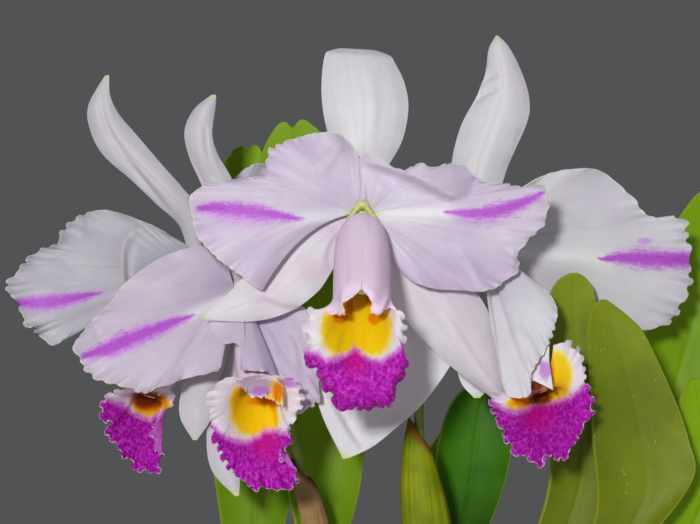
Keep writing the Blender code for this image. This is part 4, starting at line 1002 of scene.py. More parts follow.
# %% Folds, frills and pale ribs
# A fold: its line, how wide it fades left and right of the line, and its push back in mm
FOLDS = {
    ("petal", "a", 0): [([(343, 143), (332, 158), (318, 176)], 4, 2.5, -1.2),
                        ([(331, 148), (322, 160), (311, 172)], 4, 2.5, -0.9),
                        ([(272, 266), (284, 252), (302, 237), (326, 223), (350, 216)], 8, 8, 1.6),
                        ([(300, 219), (330, 217), (352, 214)], 4, 4, 0.6),
                        ([(240, 196), (262, 190), (280, 186)], 4, 4, 0.8)],
    ("petal", "a", 1): [([(360, 158), (380, 163), (400, 170), (420, 178), (440, 188), (462, 202)],
                         60, 5.5, -9.0),
                        ([(372, 170), (388, 180), (402, 189), (425, 196), (458, 203)], 5, 8, 1.0),
                        ([(449, 246), (467, 261), (485, 291)], 8, 3, -1.4),
                        ([(502, 231), (520, 234), (541, 231)], 2.5, 3.5, -1.2),
                        ([(503, 238), (520, 241), (534, 239)], 2.5, 3.5, -1.2),
                        ([(514, 248), (513, 262), (518, 272)], 3, 6, -2.0)],
    ("petal", "b", 0): [([(93, 322), (98, 338), (108, 341)], 3, 3, 0.8),
                        ([(207, 325), (190, 348), (170, 380)], 9, 5, 2.4),
                        ([(195, 262), (150, 285), (120, 300)], 6, 6, 0.6)],
    ("petal", "b", 1): [([(262, 318), (272, 345), (276, 372)], 5, 8, -1.4),
                        ([(290, 318), (300, 350), (304, 385)], 6, 4, 1.2)],
    ("petal", "c", 0): [([(81, 213), (80, 226), (83, 240)], 4, 4, -0.9),
                        ([(52, 246), (66, 262), (84, 276)], 5, 5, 0.8),
                        ([(30, 268), (52, 280), (80, 288)], 5, 5, 0.7)],
    ("petal", "d", 0): [([(500, 250), (560, 258), (605, 260)], 7, 7, -0.8),
                        ([(560, 200), (575, 215), (600, 228)], 7, 7, 0.9)],
    ("petal", "d", 1): [([(523, 322), (533, 338), (542, 353)], 3, 4, 1.0),
                        ([(505, 282), (515, 320), (520, 360)], 6, 8, -1.2)],
    ("sepal", "a", 0): [([(352, 70), (352, 110), (357, 150)], 6, 6, 0.5),
                        ([(380, 66), (384, 105), (376, 150)], 6, 6, 0.5)],
    ("sepal", "a", 1): [([(248, 303), (264, 296), (282, 303), (302, 306), (322, 292)],
                         16, 2.5, -2.0),
                        ([(337, 229), (327, 244), (323, 260), (328, 272)], 2.5, 12, -1.4)],
    ("sepal", "a", 2): [([(441, 309), (470, 355), (501, 402)], 5, 18, -1.6),
                        ([(392, 262), (420, 300), (452, 345)], 8, 8, 0.8)],
    ("sepal", "b", 0): [([(204, 122), (207, 150), (214, 182)], 2.5, 3, 0.9),
                        ([(193, 152), (199, 172), (210, 190)], 2.5, 2.5, 0.6)],
    ("sepal", "c", 0): [([(100, 88), (103, 112), (110, 134), (122, 152), (145, 182), (172, 212)],
                         3, 5, 1.8),
                        ([(128, 160), (152, 190), (172, 215)], 3, 3, 0.7)],
    ("sepal", "d", 0): [([(474, 103), (482, 95), (493, 90), (500, 89)], 2.5, 3, 2.6),
                        ([(484, 80), (491, 76), (499, 74)], 2.5, 3, 2.2),
                        ([(524, 126), (519, 138), (514, 150)], 3, 3, 0.8)],
    ("sepal", "d", 1): [([(323, 386), (336, 414), (350, 438), (361, 452)], 2.5, 12, -3.0)],
}
# Where a petal's margin is crimped: x, y, radius and strength
FRILLS = {
    ("a", 0): [(285, 150, 26, 0.8), (266, 168, 16, 1.6), (238, 180, 26, 1.4), (212, 256, 26, 0.5)],
    ("a", 1): [(420, 166, 26, 1.0), (468, 170, 30, 1.3), (530, 187, 26, 1.1), (546, 212, 18, 1.2),
               (530, 241, 16, 1.8), (510, 275, 16, 1.0), (487, 291, 20, 0.6)],
    ("b", 0): [(84, 345, 30, 0.9), (100, 380, 26, 0.7), (145, 392, 22, 1.0), (220, 370, 22, 0.8)],
    ("b", 1): [(245, 362, 18, 1.0), (280, 382, 20, 0.8), (310, 408, 24, 1.2)],
    ("c", 0): [(22, 264, 30, 1.7), (52, 245, 28, 1.7), (78, 217, 22, 1.0), (24, 312, 24, 1.6),
               (40, 336, 22, 1.8)],
    ("c", 1): [],
    ("d", 0): [(640, 205, 26, 0.9), (680, 224, 24, 1.6), (690, 262, 28, 1.2), (684, 300, 26, 1.6),
               (664, 325, 24, 1.6), (610, 336, 24, 0.5)],
    ("d", 1): [(552, 330, 22, 0.5), (546, 350, 16, 0.6), (532, 378, 16, 0.4)],
}
PALE_RIBS = {("a", 0): [((300, 219), (356, 214), 7)], ("a", 1): [((372, 214), (445, 213), 8)],
             ("d", 0): [((498, 250), (606, 259), 9)], ("b", 0): [((190, 316), (232, 296), 6)]}
SMOOTH_MARGIN = 0.2


def fold_push(x, y, folds):
    """How far the folds push each place away from the eye, in mm."""
    total = np.zeros(np.shape(x))
    for line, left, right, push in folds:
        gap, along, side = near_line(x, y, line)
        fade = np.clip(1 - np.abs(2 * along - 1) ** 3, 0, 1)
        total = total + push * fade * np.exp(-(gap / np.where(side > 0, right, left)) ** 2)
    return total


def pale_rib(x, y, key):
    inside = np.zeros(np.shape(x))
    for start, end, width in PALE_RIBS.get(key, []):
        gap = near_line(x, y, [start, end])[0]
        inside = np.maximum(inside, np.exp(-(gap / width) ** 2))
    return inside


print("folded petals and sepals:", len(FOLDS))

# %% [markdown]
# ## Petals and sepals
# Each petal is a fan of rings from its base to its outline, like the construction's but much finer.
# Its margin is crimped in waves and curls, and pleats run out from the base.

# %% Petals
PETAL_WALL = 0.55
PETAL_SPOKES = 246
PETAL_RINGS = 34
PETAL_ROOT_REACH = 0.03
PETAL_RING_POWER = 1.4
PETAL_WAVES = 8
PETAL_WAVE_POWER = 6
PETAL_END_CALM = 25
SWEEP_POWER = 2
MARGIN_RUFFLES = 34
MARGIN_CRIMP = 1.2
MARGIN_SLIDE = 0.7
MARGIN_TUCK = 0.9
MARGIN_NICK = 0.5
MARGIN_BAND = 22
PLEAT_DEPTH = 0.09


def petal_piece(letter, number):
    petal = BLOOMS[letter]["petals"][number]
    base = np.array(petal["base"], float)
    edge = smooth(petal["outline"], PETAL_SPOKES + 1)
    turn = np.linspace(0, 1, PETAL_SPOKES + 1)[None, :]
    reach = (1 - (1 - np.linspace(0, 1, PETAL_RINGS + 1)) ** PETAL_RING_POWER)[:, None]
    reach = PETAL_ROOT_REACH + (1 - PETAL_ROOT_REACH) * reach
    seed = 10 * ord(letter) + number
    frill = SMOOTH_MARGIN
    for x, y, radius, strength in FRILLS[letter, number]:
        away = (edge[:, 0] - x) ** 2 + (edge[:, 1] - y) ** 2
        frill = frill + strength * np.exp(-away / radius ** 2)
    ends = np.clip(PETAL_END_CALM * np.minimum(turn, 1 - turn), 0, 1)
    band = frill * ends * reach ** MARGIN_BAND
    push, slide, tuck = ruffle(turn, MARGIN_RUFFLES, seed)
    heading = unit(np.gradient(edge[:, :2], axis=0))
    outward = unit(edge[:, :2] - base[:2])
    shift = MARGIN_SLIDE * slide * band
    out = (MARGIN_TUCK * tuck + MARGIN_NICK * ripple(turn, 25, 55, seed + 3)) * band
    belly = 4 * reach * (1 - reach)
    bend = belly * turn ** SWEEP_POWER
    sweep = petal.get("sweep", (0, 0))
    x, y = (base[axis] + (edge[:, axis] - base[axis]) * reach + shift * heading[:, axis]
            + out * outward[:, axis] + sweep[axis] * bend for axis in (0, 1))
    wave = petal["ruffle"] * np.sin(2 * np.pi * PETAL_WAVES * turn) * reach ** PETAL_WAVE_POWER
    crimp = MARGIN_CRIMP * push * band
    pleats = PLEAT_DEPTH * ripple(turn, 8, 30, seed + 2) * np.sin(np.pi * reach ** 0.8)
    lift = petal["bow"] * belly + wave + crimp + pleats
    lift = lift + fold_push(x, y, FOLDS.get(("petal", letter, number), []))
    depth = base[2] + (edge[:, 2] - base[2]) * reach + lift
    core, haze = flame_fields(x, y, (letter, number))
    marks = {"angle": turn, "reach": reach, "blaze": core, "haze": haze,
             "midrib": pale_rib(x, y, (letter, number))}
    made = grid_piece(f"bloom_{letter}_petal_{number + 1}", seen(x, y, depth), marks)
    thicken(made, PETAL_WALL)
    return dress(made, PETAL_LOOKS[letter], "petals", f"bloom_{letter}_petals")


for letter in BLOOMS:
    for number in range(2):
        petal_piece(letter, number)

# %% Sepals
SEPAL_WALL = 0.65
SEPAL_ROWS = 90
SEPAL_COLUMNS = 28
SEPAL_ROOT_WIDTH = 2.0
SEPAL_ROOT_SETBACK = 2.0
SEPAL_PLEATS = 0.03
MIDRIB_DEPTH = 0.4
MIDRIB_WIDTH = 0.1
BLADE_WAVE = 0.6
SEPAL_BLUSHES = {("a", 1): 1.0, ("a", 2): 0.6}
FAINT_BLUSH = 0.15


def station(left_x, left_y, right_x, right_y, left_depth, middle_depth, right_depth):
    """The left, middle and right points of a blade's station, in a row of nine numbers."""
    left = seen(left_x, left_y, left_depth)
    middle = seen((left_x + right_x) / 2, (left_y + right_y) / 2, middle_depth)
    right = seen(right_x, right_y, right_depth)
    return np.concatenate([left, middle, right])


def blade_points(stations, rows, columns):
    """Rows of points across a blade, curved through its left edge, middle and right edge."""
    even = smooth(stations, rows + 1)
    left, middle, right = (even[:, None, start:start + 3] for start in (0, 3, 6))
    s = np.linspace(-1, 1, columns + 1)[None, :, None]
    points = left * (s * s - s) / 2 + middle * (1 - s * s) + right * (s * s + s) / 2
    along = np.linspace(0, 1, rows + 1)[:, None]
    across = s[..., 0]
    return points, {"along": along, "across": across, "edge": np.abs(across) ** 3}


def margin_wave(along, across, most, seed):
    """Waves along a blade's margins, none at its middle and its ends."""
    strength = BLADE_WAVE * np.abs(across) ** 3 * np.sin(np.pi * along)
    return strength * ripple(along, 2, most, seed)


def sepal_piece(letter, number):
    hub = seen(*BLOOMS[letter]["hub"])
    stations = [station(*row) for row in BLOOMS[letter]["sepals"][number]]
    side = unit(stations[0][6:] - stations[0][:3]) * SEPAL_ROOT_WIDTH
    root = hub + np.array([0, SEPAL_ROOT_SETBACK, 0])
    stations = [np.concatenate([root - side, root, root + side])] + stations
    points, marks = blade_points(stations, SEPAL_ROWS, SEPAL_COLUMNS)
    along, across = marks["along"], marks["across"]
    seed = 100 * ord(letter) + number
    rib = MIDRIB_DEPTH * np.exp(-(across / MIDRIB_WIDTH) ** 2) * np.sin(np.pi * along)
    pleats = SEPAL_PLEATS * ripple(across / 2, 3, 8, seed) * np.sin(np.pi * along)
    wave = margin_wave(along, across, 7, seed + 1)
    x, y = shown(points)
    folds = fold_push(x, y, FOLDS.get(("sepal", letter, number), []))
    points[..., 1] += rib + pleats + wave + folds
    marks["blush"] = SEPAL_BLUSHES.get((letter, number), FAINT_BLUSH)
    made = grid_piece(f"bloom_{letter}_sepal_{number + 1}", points, marks)
    thicken(made, SEPAL_WALL)
    return dress(made, SEPAL_LOOKS[letter], "petals", f"bloom_{letter}_petals")


for letter in BLOOMS:
    for number in range(3):
        sepal_piece(letter, number)

# %% Hubs with their ovaries
HUB_RADIUS = 5.2
HUB_ROWS = 28
HUB_SIDES = 36
OVARY_RADIUS = 2.6
OVARY_LENGTH = 11.0
OVARY_RIBS = 6
OVARY_RIB_DEPTH = 0.06


def ovary_ribs(along, turn):
    return 1 + OVARY_RIB_DEPTH * np.cos(2 * np.pi * OVARY_RIBS * turn) * (1 - along)


def hub_piece(letter):
    """A ribbed ovary that swells into the hub where the petals meet."""
    hub = seen(*BLOOMS[letter]["hub"])
    t = np.linspace(0, 1, HUB_ROWS)
    far = hub + np.array([0, OVARY_LENGTH, 0])
    near = hub - np.array([0, HUB_RADIUS, 0])
    path = far + (near - far) * t[:, None]
    swell = np.sqrt(np.clip(1 - ((path[:, 1] - hub[1]) / HUB_RADIUS) ** 2, 0, 1)) * HUB_RADIUS
    neck = OVARY_RADIUS * np.where(path[:, 1] > hub[1], 1, 0)
    radii = np.maximum(np.maximum(swell, neck), 0.2)
    made = rod(f"bloom_{letter}_hub", path, radii, HUB_SIDES, ovary_ribs)
    finish = hub_green if letter == "a" else hub_pale
    return dress(made, finish, "petals", f"bloom_{letter}_petals")


for letter in BLOOMS:
    hub_piece(letter)

# %% [markdown]
# ## Lips and columns
# The lip is one sheet: rolled round the column into a tube, then spread into a trumpet with a
# ruffled rim. Curved lines join the tube to the outline, so it widens smoothly into the lobe.

# %% Lips
LIP_WALL = 0.5
LIP_AROUND = 336
LIP_TUBE_ROWS = 11
LIP_FLARE_ROWS = 29
LIP_START = 9.5
LIP_BASE_RADIUS = 3.9
LIP_SWELL_POWER = 0.8
SEAM_HALF_GAP = 0.03
LIP_TOP_PUSH = 0.3
LIP_FULL_SPREAD = 30.0
SEAM_WIDTH = 0.02
LIP_WAVES = 12
LIP_RUFFLE = 1.1
LIP_RUFFLE_LENGTH = 5.0
LIP_CRIMP = 1.7
LIP_SLIDE = 1.2
LIP_TUCK = 1.0
LIP_FINE_SHARE = 0.4
LIP_RIM_BAND = 7
LIP_RIM_SPREAD = 13.0
LIP_CALM_SHARE = 0.06
LIP_CALM_LEAST = 0.15
LIP_ROW_POWER = 1.3
LIP_EDGE = 0.035
TO_EYE = np.array([0.0, -1.0, 0.0])


def lip_frame(bloom):
    """Hub and mouth of a lip, with the tube's axis, its seam side and the side left of that."""
    hub = seen(*bloom["hub"])
    mouth = seen(*bloom["mouth"])
    axis = unit(mouth - hub)
    seam = np.array(bloom["seam"], float)
    up = unit(seam - axis * seam.dot(axis))
    return hub, mouth, axis, up, np.cross(axis, up)


def lip_swell(bloom, along):
    """How wide the tube is along it, from 0 at its start to 1 at its mouth."""
    if "swell" not in bloom:
        return np.sin(along * np.pi / 2)
    swell, full = (1 - np.exp(-(share / bloom["swell"]) ** LIP_SWELL_POWER) for share in (along, 1))
    return swell / full


def lip_points(letter):
    """Rows of points down the tube and out over the lobe, with each corner's place in the rows."""
    bloom = BLOOMS[letter]
    hub, mouth, axis, up, side = lip_frame(bloom)
    turn = np.linspace(0, 1, LIP_AROUND + 1)
    rim_line = smooth([seen(*point) for point in bloom["lip"]], 4 * LIP_AROUND + 1)
    spacing = np.array(bloom.get("spacing", [(0, 0), (1, 1)]))
    share = np.interp(turn, spacing[:, 0], spacing[:, 1])
    grid_share = np.linspace(0, 1, len(rim_line))
    edge = np.column_stack([np.interp(share, grid_share, column) for column in rim_line.T])
    along = np.linspace(0, 1, LIP_TUBE_ROWS + 1)[:, None] ** 1.5
    swell = lip_swell(bloom, along)
    radius = LIP_BASE_RADIUS + (bloom["mouth_radius"] - LIP_BASE_RADIUS) * swell
    first = SEAM_HALF_GAP / radius
    angle = first + (2 * np.pi - 2 * first) * turn
    slant = bloom.get("slant", 0) * ((1 + np.cos(2 * np.pi * turn)) / 2) ** 2
    start = hub + axis * (LIP_START - slant)[:, None]
    centre = start + (mouth - start) * along[..., None]
    tube = centre + radius[..., None] * (np.cos(angle)[..., None] * up
                                         + np.sin(angle)[..., None] * side)
    ring = tube[-1]
    forward = unit(axis + np.array([0, -1, 0]))
    distance = np.linalg.norm(edge - ring, axis=1)
    spread = np.minimum(1, distance / LIP_FULL_SPREAD)
    push = LIP_TOP_PUSH + (1 - LIP_TOP_PUSH) * np.sin(np.pi * turn) ** 2
    bend = (ring + edge) / 2 + forward * bloom["bulge"] * 2 * (spread * push)[:, None]
    out = 1 - (1 - np.linspace(0, 1, LIP_FLARE_ROWS + 1)[1:, None, None]) ** LIP_ROW_POWER
    flare = ring * (1 - out) ** 2 + 2 * bend * out * (1 - out) + edge * out ** 2
    wave = LIP_RUFFLE * np.cos(2 * np.pi * LIP_WAVES * turn) * spread * out[..., 0] ** 3
    length = np.linalg.norm(np.diff(edge, axis=0), axis=1).sum()
    push, slide, tuck = ruffle(turn, round(length / LIP_RUFFLE_LENGTH), 7 * ord(letter))
    fine = LIP_FINE_SHARE * ripple(turn, 40, 58, 7 * ord(letter) + 3)
    calm = bloom.get("calm", LIP_CALM_SHARE)
    ends = np.clip((np.minimum(turn, 1 - turn) - calm) / calm, LIP_CALM_LEAST, 1)
    band = np.minimum(1, distance / LIP_RIM_SPREAD) * ends * out[..., 0] ** LIP_RIM_BAND
    heading = unit(np.gradient(edge, axis=0))
    outward = unit(np.cross(forward, heading))
    moves = [(forward, wave), (TO_EYE, LIP_CRIMP * (push + fine) * band),
             (heading, LIP_SLIDE * slide * band), (outward, LIP_TUCK * (tuck + fine) * band)]
    for direction, amount in moves:
        flare = flare + direction * amount[..., None]
    return np.concatenate([tube, flare]), turn


def lip_piece(letter):
    points, turn = lip_points(letter)
    x, y = shown(points)
    rows = len(points)
    out = np.clip((np.arange(rows) - LIP_TUBE_ROWS) / LIP_FLARE_ROWS, 0, 1)[:, None]
    out = 1 - (1 - out) ** LIP_ROW_POWER
    line = np.array(PURPLE_LINES[letter], float)
    purple = np.clip((y - np.interp(x, line[:, 0], line[:, 1])) / PURPLE_SOFTNESS + 0.5, 0, 1)
    along = np.linspace(0, 1, rows)[:, None]
    seam_width = SEAM_WIDTH * (0.2 + np.clip(along * rows / LIP_TUBE_ROWS, 0, 1) ** 3)
    marks = {"around": turn[None, :], "along": along, "purple": purple, "inside": 1.0,
             "edge": np.clip((out - 1) / LIP_EDGE + 1, 0, 1), **lip_fields(x, y, EYES[letter]),
             "seam": np.clip(1 - np.minimum(turn, 1 - turn)[None, :] / seam_width, 0, 1)}
    made = grid_piece(f"bloom_{letter}_rolled_lip", points, marks)
    corners = len(made.data.vertices)
    thicken(made, LIP_WALL)
    values = np.zeros(len(made.data.vertices), dtype=np.float32)
    values[:corners] = 1.0
    made.data.attributes["inside"].data.foreach_set("value", values)
    return dress(made, lip_colours, "lip", f"bloom_{letter}_lip")


for letter in BLOOMS:
    lip_piece(letter)

# %% Columns
COLUMN_START = 5.8
COLUMN_ROWS = 40
COLUMN_SIDES = 28
COLUMN_STRAIGHT = 7.0
COLUMN_ARCH = 2.5
COLUMN_CAP_LENGTH = 5.0
COLUMN_TIP_LENGTH = 1.5
COLUMN_TIP_RISE = 0.42
COLUMN_RADII = [2.9, 3.0, 3.1, 3.6, 3.4, 1.6]


def column_piece(letter):
    """The rod inside the lip's tube, with a swollen cap at its tip."""
    bloom = BLOOMS[letter]
    hub, mouth, axis, up = lip_frame(bloom)[:4]
    tip = mouth + up * bloom["mouth_radius"] * COLUMN_TIP_RISE
    rows = [hub + axis * COLUMN_START, hub + axis * (COLUMN_START + COLUMN_STRAIGHT),
            (hub + mouth) / 2 + up * COLUMN_ARCH, tip - axis * COLUMN_CAP_LENGTH,
            tip - axis * COLUMN_TIP_LENGTH, tip]
    path = smooth([(*point, radius) for point, radius in zip(rows, COLUMN_RADII)], COLUMN_ROWS)
    made = rod(f"bloom_{letter}_column_rod", path[:, :3], path[:, 3], COLUMN_SIDES)
    return dress(made, column_cream, "column", f"bloom_{letter}_column")


for letter in BLOOMS:
    column_piece(letter)

# %% The cap and arms that show over the front bloom's lip
CAPPED_BLOOM = "a"
# The cap, an arm's bend and its end: how far up from the hub, along the lip and sideways
CAP_PLACES = [(6.5, 2.0, 0.0), (3.5, 4.8, 4.3), (1.0, 7.7, 6.6)]
CAP_ROWS = 71
CAP_SIDES = 28
CAP_END_POWER = 24
CAP_RADIUS = 2.5
CAP_SPREAD = 0.22
ARM_RADIUS = 1.2
ARM_TIP_SWELL = 0.35
ARM_TIP_PLACE = 0.9
ARM_TIP_WIDTH = 0.1


def cap_piece(letter):
    hub, _, axis, up, side = lip_frame(BLOOMS[letter])
    half, other = ([hub + rise * up + along * axis + turned * out * side
                    for rise, along, out in CAP_PLACES] for turned in (1, -1))
    path = smooth(other[:0:-1] + half, CAP_ROWS)
    t = np.linspace(-1, 1, len(path))
    swell = np.exp(-(t / CAP_SPREAD) ** 2)
    tips = ARM_TIP_SWELL * np.exp(-((np.abs(t) - ARM_TIP_PLACE) / ARM_TIP_WIDTH) ** 2)
    radii = ARM_RADIUS + (CAP_RADIUS - ARM_RADIUS) * swell + tips
    radii = radii * np.sqrt(np.clip(1.001 - np.abs(t) ** CAP_END_POWER, 0, 1))
    made = rod(f"bloom_{letter}_cap", path, radii, CAP_SIDES)
    return dress(made, hub_green, "petals", f"bloom_{letter}_petals")


cap_piece(CAPPED_BLOOM)

# %% Side lobes that fold across a mouth
LOBE_ROWS = 26
LOBE_COLUMNS = 60
LOBE_WALL = 0.5
LOBE_SAG = 1.2
LOBE_EDGE = 0.12
# A lobe: its fixed line, its free ruffled line, its bulge to the front, and its colour fields
LOBES = {
    "b": {"fixed": [(236, 381, -7), (249, 377, -5), (262, 375, -5), (273, 377, -6), (283, 386, -8)],
          "free": [(236, 385, -10), (244, 389, -11), (251, 397, -12), (262, 397, -13),
                   (272, 400, -13), (283, 407, -12)], "bulge": -1.5, "ruffle": 0.9,
          "fields": {"gold": [(275, 394, 11, 16)], "ember_and_shade": [(278, 392, 8, 13)],
                     # Painted shade on the lobe's underside, as a greyish mauve field.
                     "lobe_shade": [(254, 385, 26, 15)],
                     "stain": [(261, 391, 14, 7), (292, 384, 12, 7)]}},
    "d": {"fixed": [(549, 347, -6), (549, 360, -7), (551, 374, -8), (553, 390, -8)],
          "free": [(548, 345, -5), (541, 353, -4), (534, 364, -4), (527, 377, -5)],
          "bulge": -1.0, "ruffle": 0.7, "fields": {"stain": [(545, 370, 9, 14)]}},
}


def between_lines(lines, rows, columns):
    """A sheet from a fixed line to a free one: how far out and along it is, and its grid places."""
    fixed, free = (smooth(lines[key], columns + 1) for key in ("fixed", "free"))
    out = np.linspace(0, 1, rows + 1)[:, None]
    turn = np.linspace(0, 1, columns + 1)[None, :]
    return out, turn, fixed + (free - fixed) * out[..., None]


def lobe_piece(letter):
    lobe = LOBES[letter]
    out, turn, grid = between_lines(lobe, LOBE_ROWS, LOBE_COLUMNS)
    curl = lobe["ruffle"] * ripple(turn, 4, 12, ord(letter)) * out ** 3
    depth = grid[..., 2] + lobe["bulge"] * np.sin(np.pi * out) + curl
    x, y = grid[..., 0], grid[..., 1] + LOBE_SAG * ripple(turn, 5, 14, ord(letter) + 1) * out ** 4
    marks = {"around": turn, "along": out, "purple": 0.0, "inside": 1.0, "seam": 0.0,
             "edge": np.clip((out - 1) / LOBE_EDGE + 1, 0, 1), **lip_fields(x, y, lobe["fields"])}
    made = grid_piece(f"bloom_{letter}_side_lobe", seen(x, y, depth), marks)
    thicken(made, LOBE_WALL)
    return dress(made, lip_colours, "lip", f"bloom_{letter}_lip")


for letter in LOBES:
    lobe_piece(letter)

# %% The hood: a lobe of the far left petal that rolls to the front
HOOD_ROWS = 24
HOOD_COLUMNS = 80
HOOD_BULGE = -2.5
HOOD_CRINKLE = 0.35
HOOD_GROOVE = 3.5
HOOD_GROOVE_PLACE = 0.84
HOOD_GROOVE_WIDTH = 0.06
HOOD_GROOVE_END = 0.8
HOOD_GROOVE_FADE = 0.5
HOOD_REACH = 0.3
HOOD_SEED = 71
HOOD = {"bloom": "c",
        "free": [(132, 300, 31), (125, 290, 27), (122, 276, 25), (121, 260, 25), (122, 246, 27),
                 (127, 236, 29), (136, 230, 31), (147, 229, 33), (158, 231, 35), (172, 237, 38)],
        "fixed": [(148, 300, 38), (152, 292, 37), (157, 285, 37), (163, 278, 37), (169, 271, 37),
                  (175, 265, 37), (181, 260, 38), (187, 256, 38), (192, 253, 39), (197, 251, 40)]}


def hood_piece(hood):
    """A sheet between a hidden line and a free, rolled margin, in the petal's own finish."""
    letter = hood["bloom"]
    out, turn, grid = between_lines(hood, HOOD_ROWS, HOOD_COLUMNS)
    crinkle = HOOD_CRINKLE * ripple(turn, 5, 16, HOOD_SEED) * np.sin(np.pi * out / 2)
    groove = HOOD_GROOVE * np.exp(-((out - HOOD_GROOVE_PLACE) / HOOD_GROOVE_WIDTH) ** 2)
    groove = groove * np.clip((HOOD_GROOVE_END - turn) / HOOD_GROOVE_FADE, 0, 1)
    depth = grid[..., 2] + HOOD_BULGE * np.sin(np.pi * out) + crinkle + groove
    marks = {"angle": turn, "reach": HOOD_REACH + (1 - HOOD_REACH) * out, "blaze": 0.0, "haze": 0.0,
             "midrib": 0.0}
    made = grid_piece(f"bloom_{letter}_hood", seen(grid[..., 0], grid[..., 1], depth), marks)
    thicken(made, PETAL_WALL)
    return dress(made, PETAL_LOOKS[letter], "petals", f"bloom_{letter}_petals")


hood_piece(HOOD)

# %% [markdown]
# ## Leaves
# A cattleya leaf is a thick strap, folded along its midrib. Two of them end in a shallow notch. The
# grid follows the construction's stations, and the mark across the leaf tells Solidify to thin the
# wall towards the right margin.

# %% Leaves
LEAF_WALL = 1.7
LEAF_RIM_SHARE = 0.45
LEAF_ROWS = 110
LEAF_COLUMNS = 32
LEAF_ROOT_WIDTH = 4.0
LEAF_ROOT_LIFT = 0.8
LEAF_SETBACK = 3.6
SET_BACK_LEAVES = (6, 8)
NOTCH_DEPTH = {7: 2.2, 8: 3.6}
NOTCH_WIDTH = 0.32
LOBE_ROUNDING = 1.8
RIB_GROOVE = {1: 0.4, 2: 0.5}
DEEP_GROOVE = 0.8
GROOVE_WIDTH = 0.07
NOTCH_LENGTH = 12
LEAF_LOOKS = {1: leaf_front, 2: leaf_front, 3: leaf_light, 4: leaf_light, 5: leaf_light,
              6: leaf_shaded, 7: leaf_light, 8: leaf_light}


def leaf_piece(number):
    top = np.array(BULBS[number][1], float)
    setback = LEAF_SETBACK if number in SET_BACK_LEAVES else 0
    root = top + np.array([0, setback, LEAF_ROOT_LIFT])
    wide = np.array([LEAF_ROOT_WIDTH, 0, 0])
    stations = [np.concatenate([root - wide, root + np.array([0, 1, 0]), root + wide])]
    stations += [station(*row) for row in LEAVES[number]]
    points, marks = blade_points(stations, LEAF_ROWS, LEAF_COLUMNS)
    along, across = marks["along"], marks["across"]
    groove = RIB_GROOVE.get(number, DEEP_GROOVE) * np.exp(-(across / GROOVE_WIDTH) ** 2)
    groove = groove * np.sin(np.pi * along) ** 0.5
    wave = margin_wave(along, across, 6, number)
    points[..., 1] += groove + wave
    if number in NOTCH_DEPTH:
        notch = NOTCH_DEPTH[number] * np.exp(-(across / NOTCH_WIDTH) ** 2)
        last = np.clip((along - 1) * NOTCH_LENGTH + 1, 0, 1)
        points[..., 2] -= (notch + LOBE_ROUNDING * across ** 4) * last
    made = grid_piece(f"leaf_blade_{number}", points, marks)
    thicken(made, LEAF_WALL, LEAF_RIM_SHARE)
    return dress(made, LEAF_LOOKS[number], "leaf", f"leaf_{number}")


for number in LEAVES:
    leaf_piece(number)

# %% [markdown]
# ## Swollen stems, runner and roots
# Each leaf stands on a furrowed bulb that stores water. Old sheaths dry on it like paper. The bulbs
# grow from a scaly runner on the bark, which sends roots down.

# %% Bulbs
BARK_TOP = 117.0
GAP = 0.3
RHIZOME_RADIUS = 4.2
# A bulb's radius at each share of its height
BULB_SHAPE = [(0, 4.4), (0.12, 4.4), (0.36, 6.4), (0.6, 8.0), (0.8, 7.6), (0.94, 6.6), (1.0, 5.8)]
BULB_ROWS = 70
BULB_SIDES = 56
BULB_LEAN_POWER = 1.2
BULB_UNEVEN = 0.012
FURROWS = 11
FURROW_DEPTH = 0.05
BULB_JOINTS = (0.18, 0.46, 0.74)
STALK_JOINTS = (0.34, 0.62)
JOINT_WIDTH = 0.012
JOINT_SWELL = 0.35


def joint_rings(t, places):
    """How much the rings at its joints swell a stem at each share of its length, in mm."""
    return JOINT_SWELL * sum(np.exp(-((t - place_of) / JOINT_WIDTH) ** 2) for place_of in places)


def bulb_piece(number):
    base, top = BULBS[number]
    bottom = BARK_TOP + 2 * (RHIZOME_RADIUS + GAP)
    rise = np.linspace(0, 1, BULB_ROWS)
    lean = rise ** BULB_LEAN_POWER
    start = np.array([*base, bottom])
    path = start + (np.array(top) - start) * np.column_stack([lean, lean, rise])
    shape = smooth(BULB_SHAPE, 200)
    radii = np.interp(rise, shape[:, 0], shape[:, 1])
    radii = radii + joint_rings(rise, BULB_JOINTS)

    def furrow(along, turn):
        folds = np.abs(np.cos(np.pi * FURROWS * turn + number))
        uneven = BULB_UNEVEN * ripple(turn, 3, 9, number)
        return 1 - FURROW_DEPTH * np.sin(np.pi * along) * folds + uneven

    made = rod(f"bulb_{number}", path, radii, BULB_SIDES, furrow)
    return dress(made, bulb_green, "bulb", f"pseudobulb_{number}")


for number in BULBS:
    bulb_piece(number)

# %% Runner and roots
RUN_ROWS = 18
RUN_THINNER = 0.15
RUN_SIDES = 28
RUN_END_ROWS = 3
RUN_END_SHARE = 0.3
SCALE_SPACING = 5.0
SCALE_RISE = 0.7
ROOT_RADIUS = 1.6
ROOT_DEPTH = 60.0
ROOT_ROWS = 30
ROOT_SIDES = 14
ROOT_TIP = 0.93


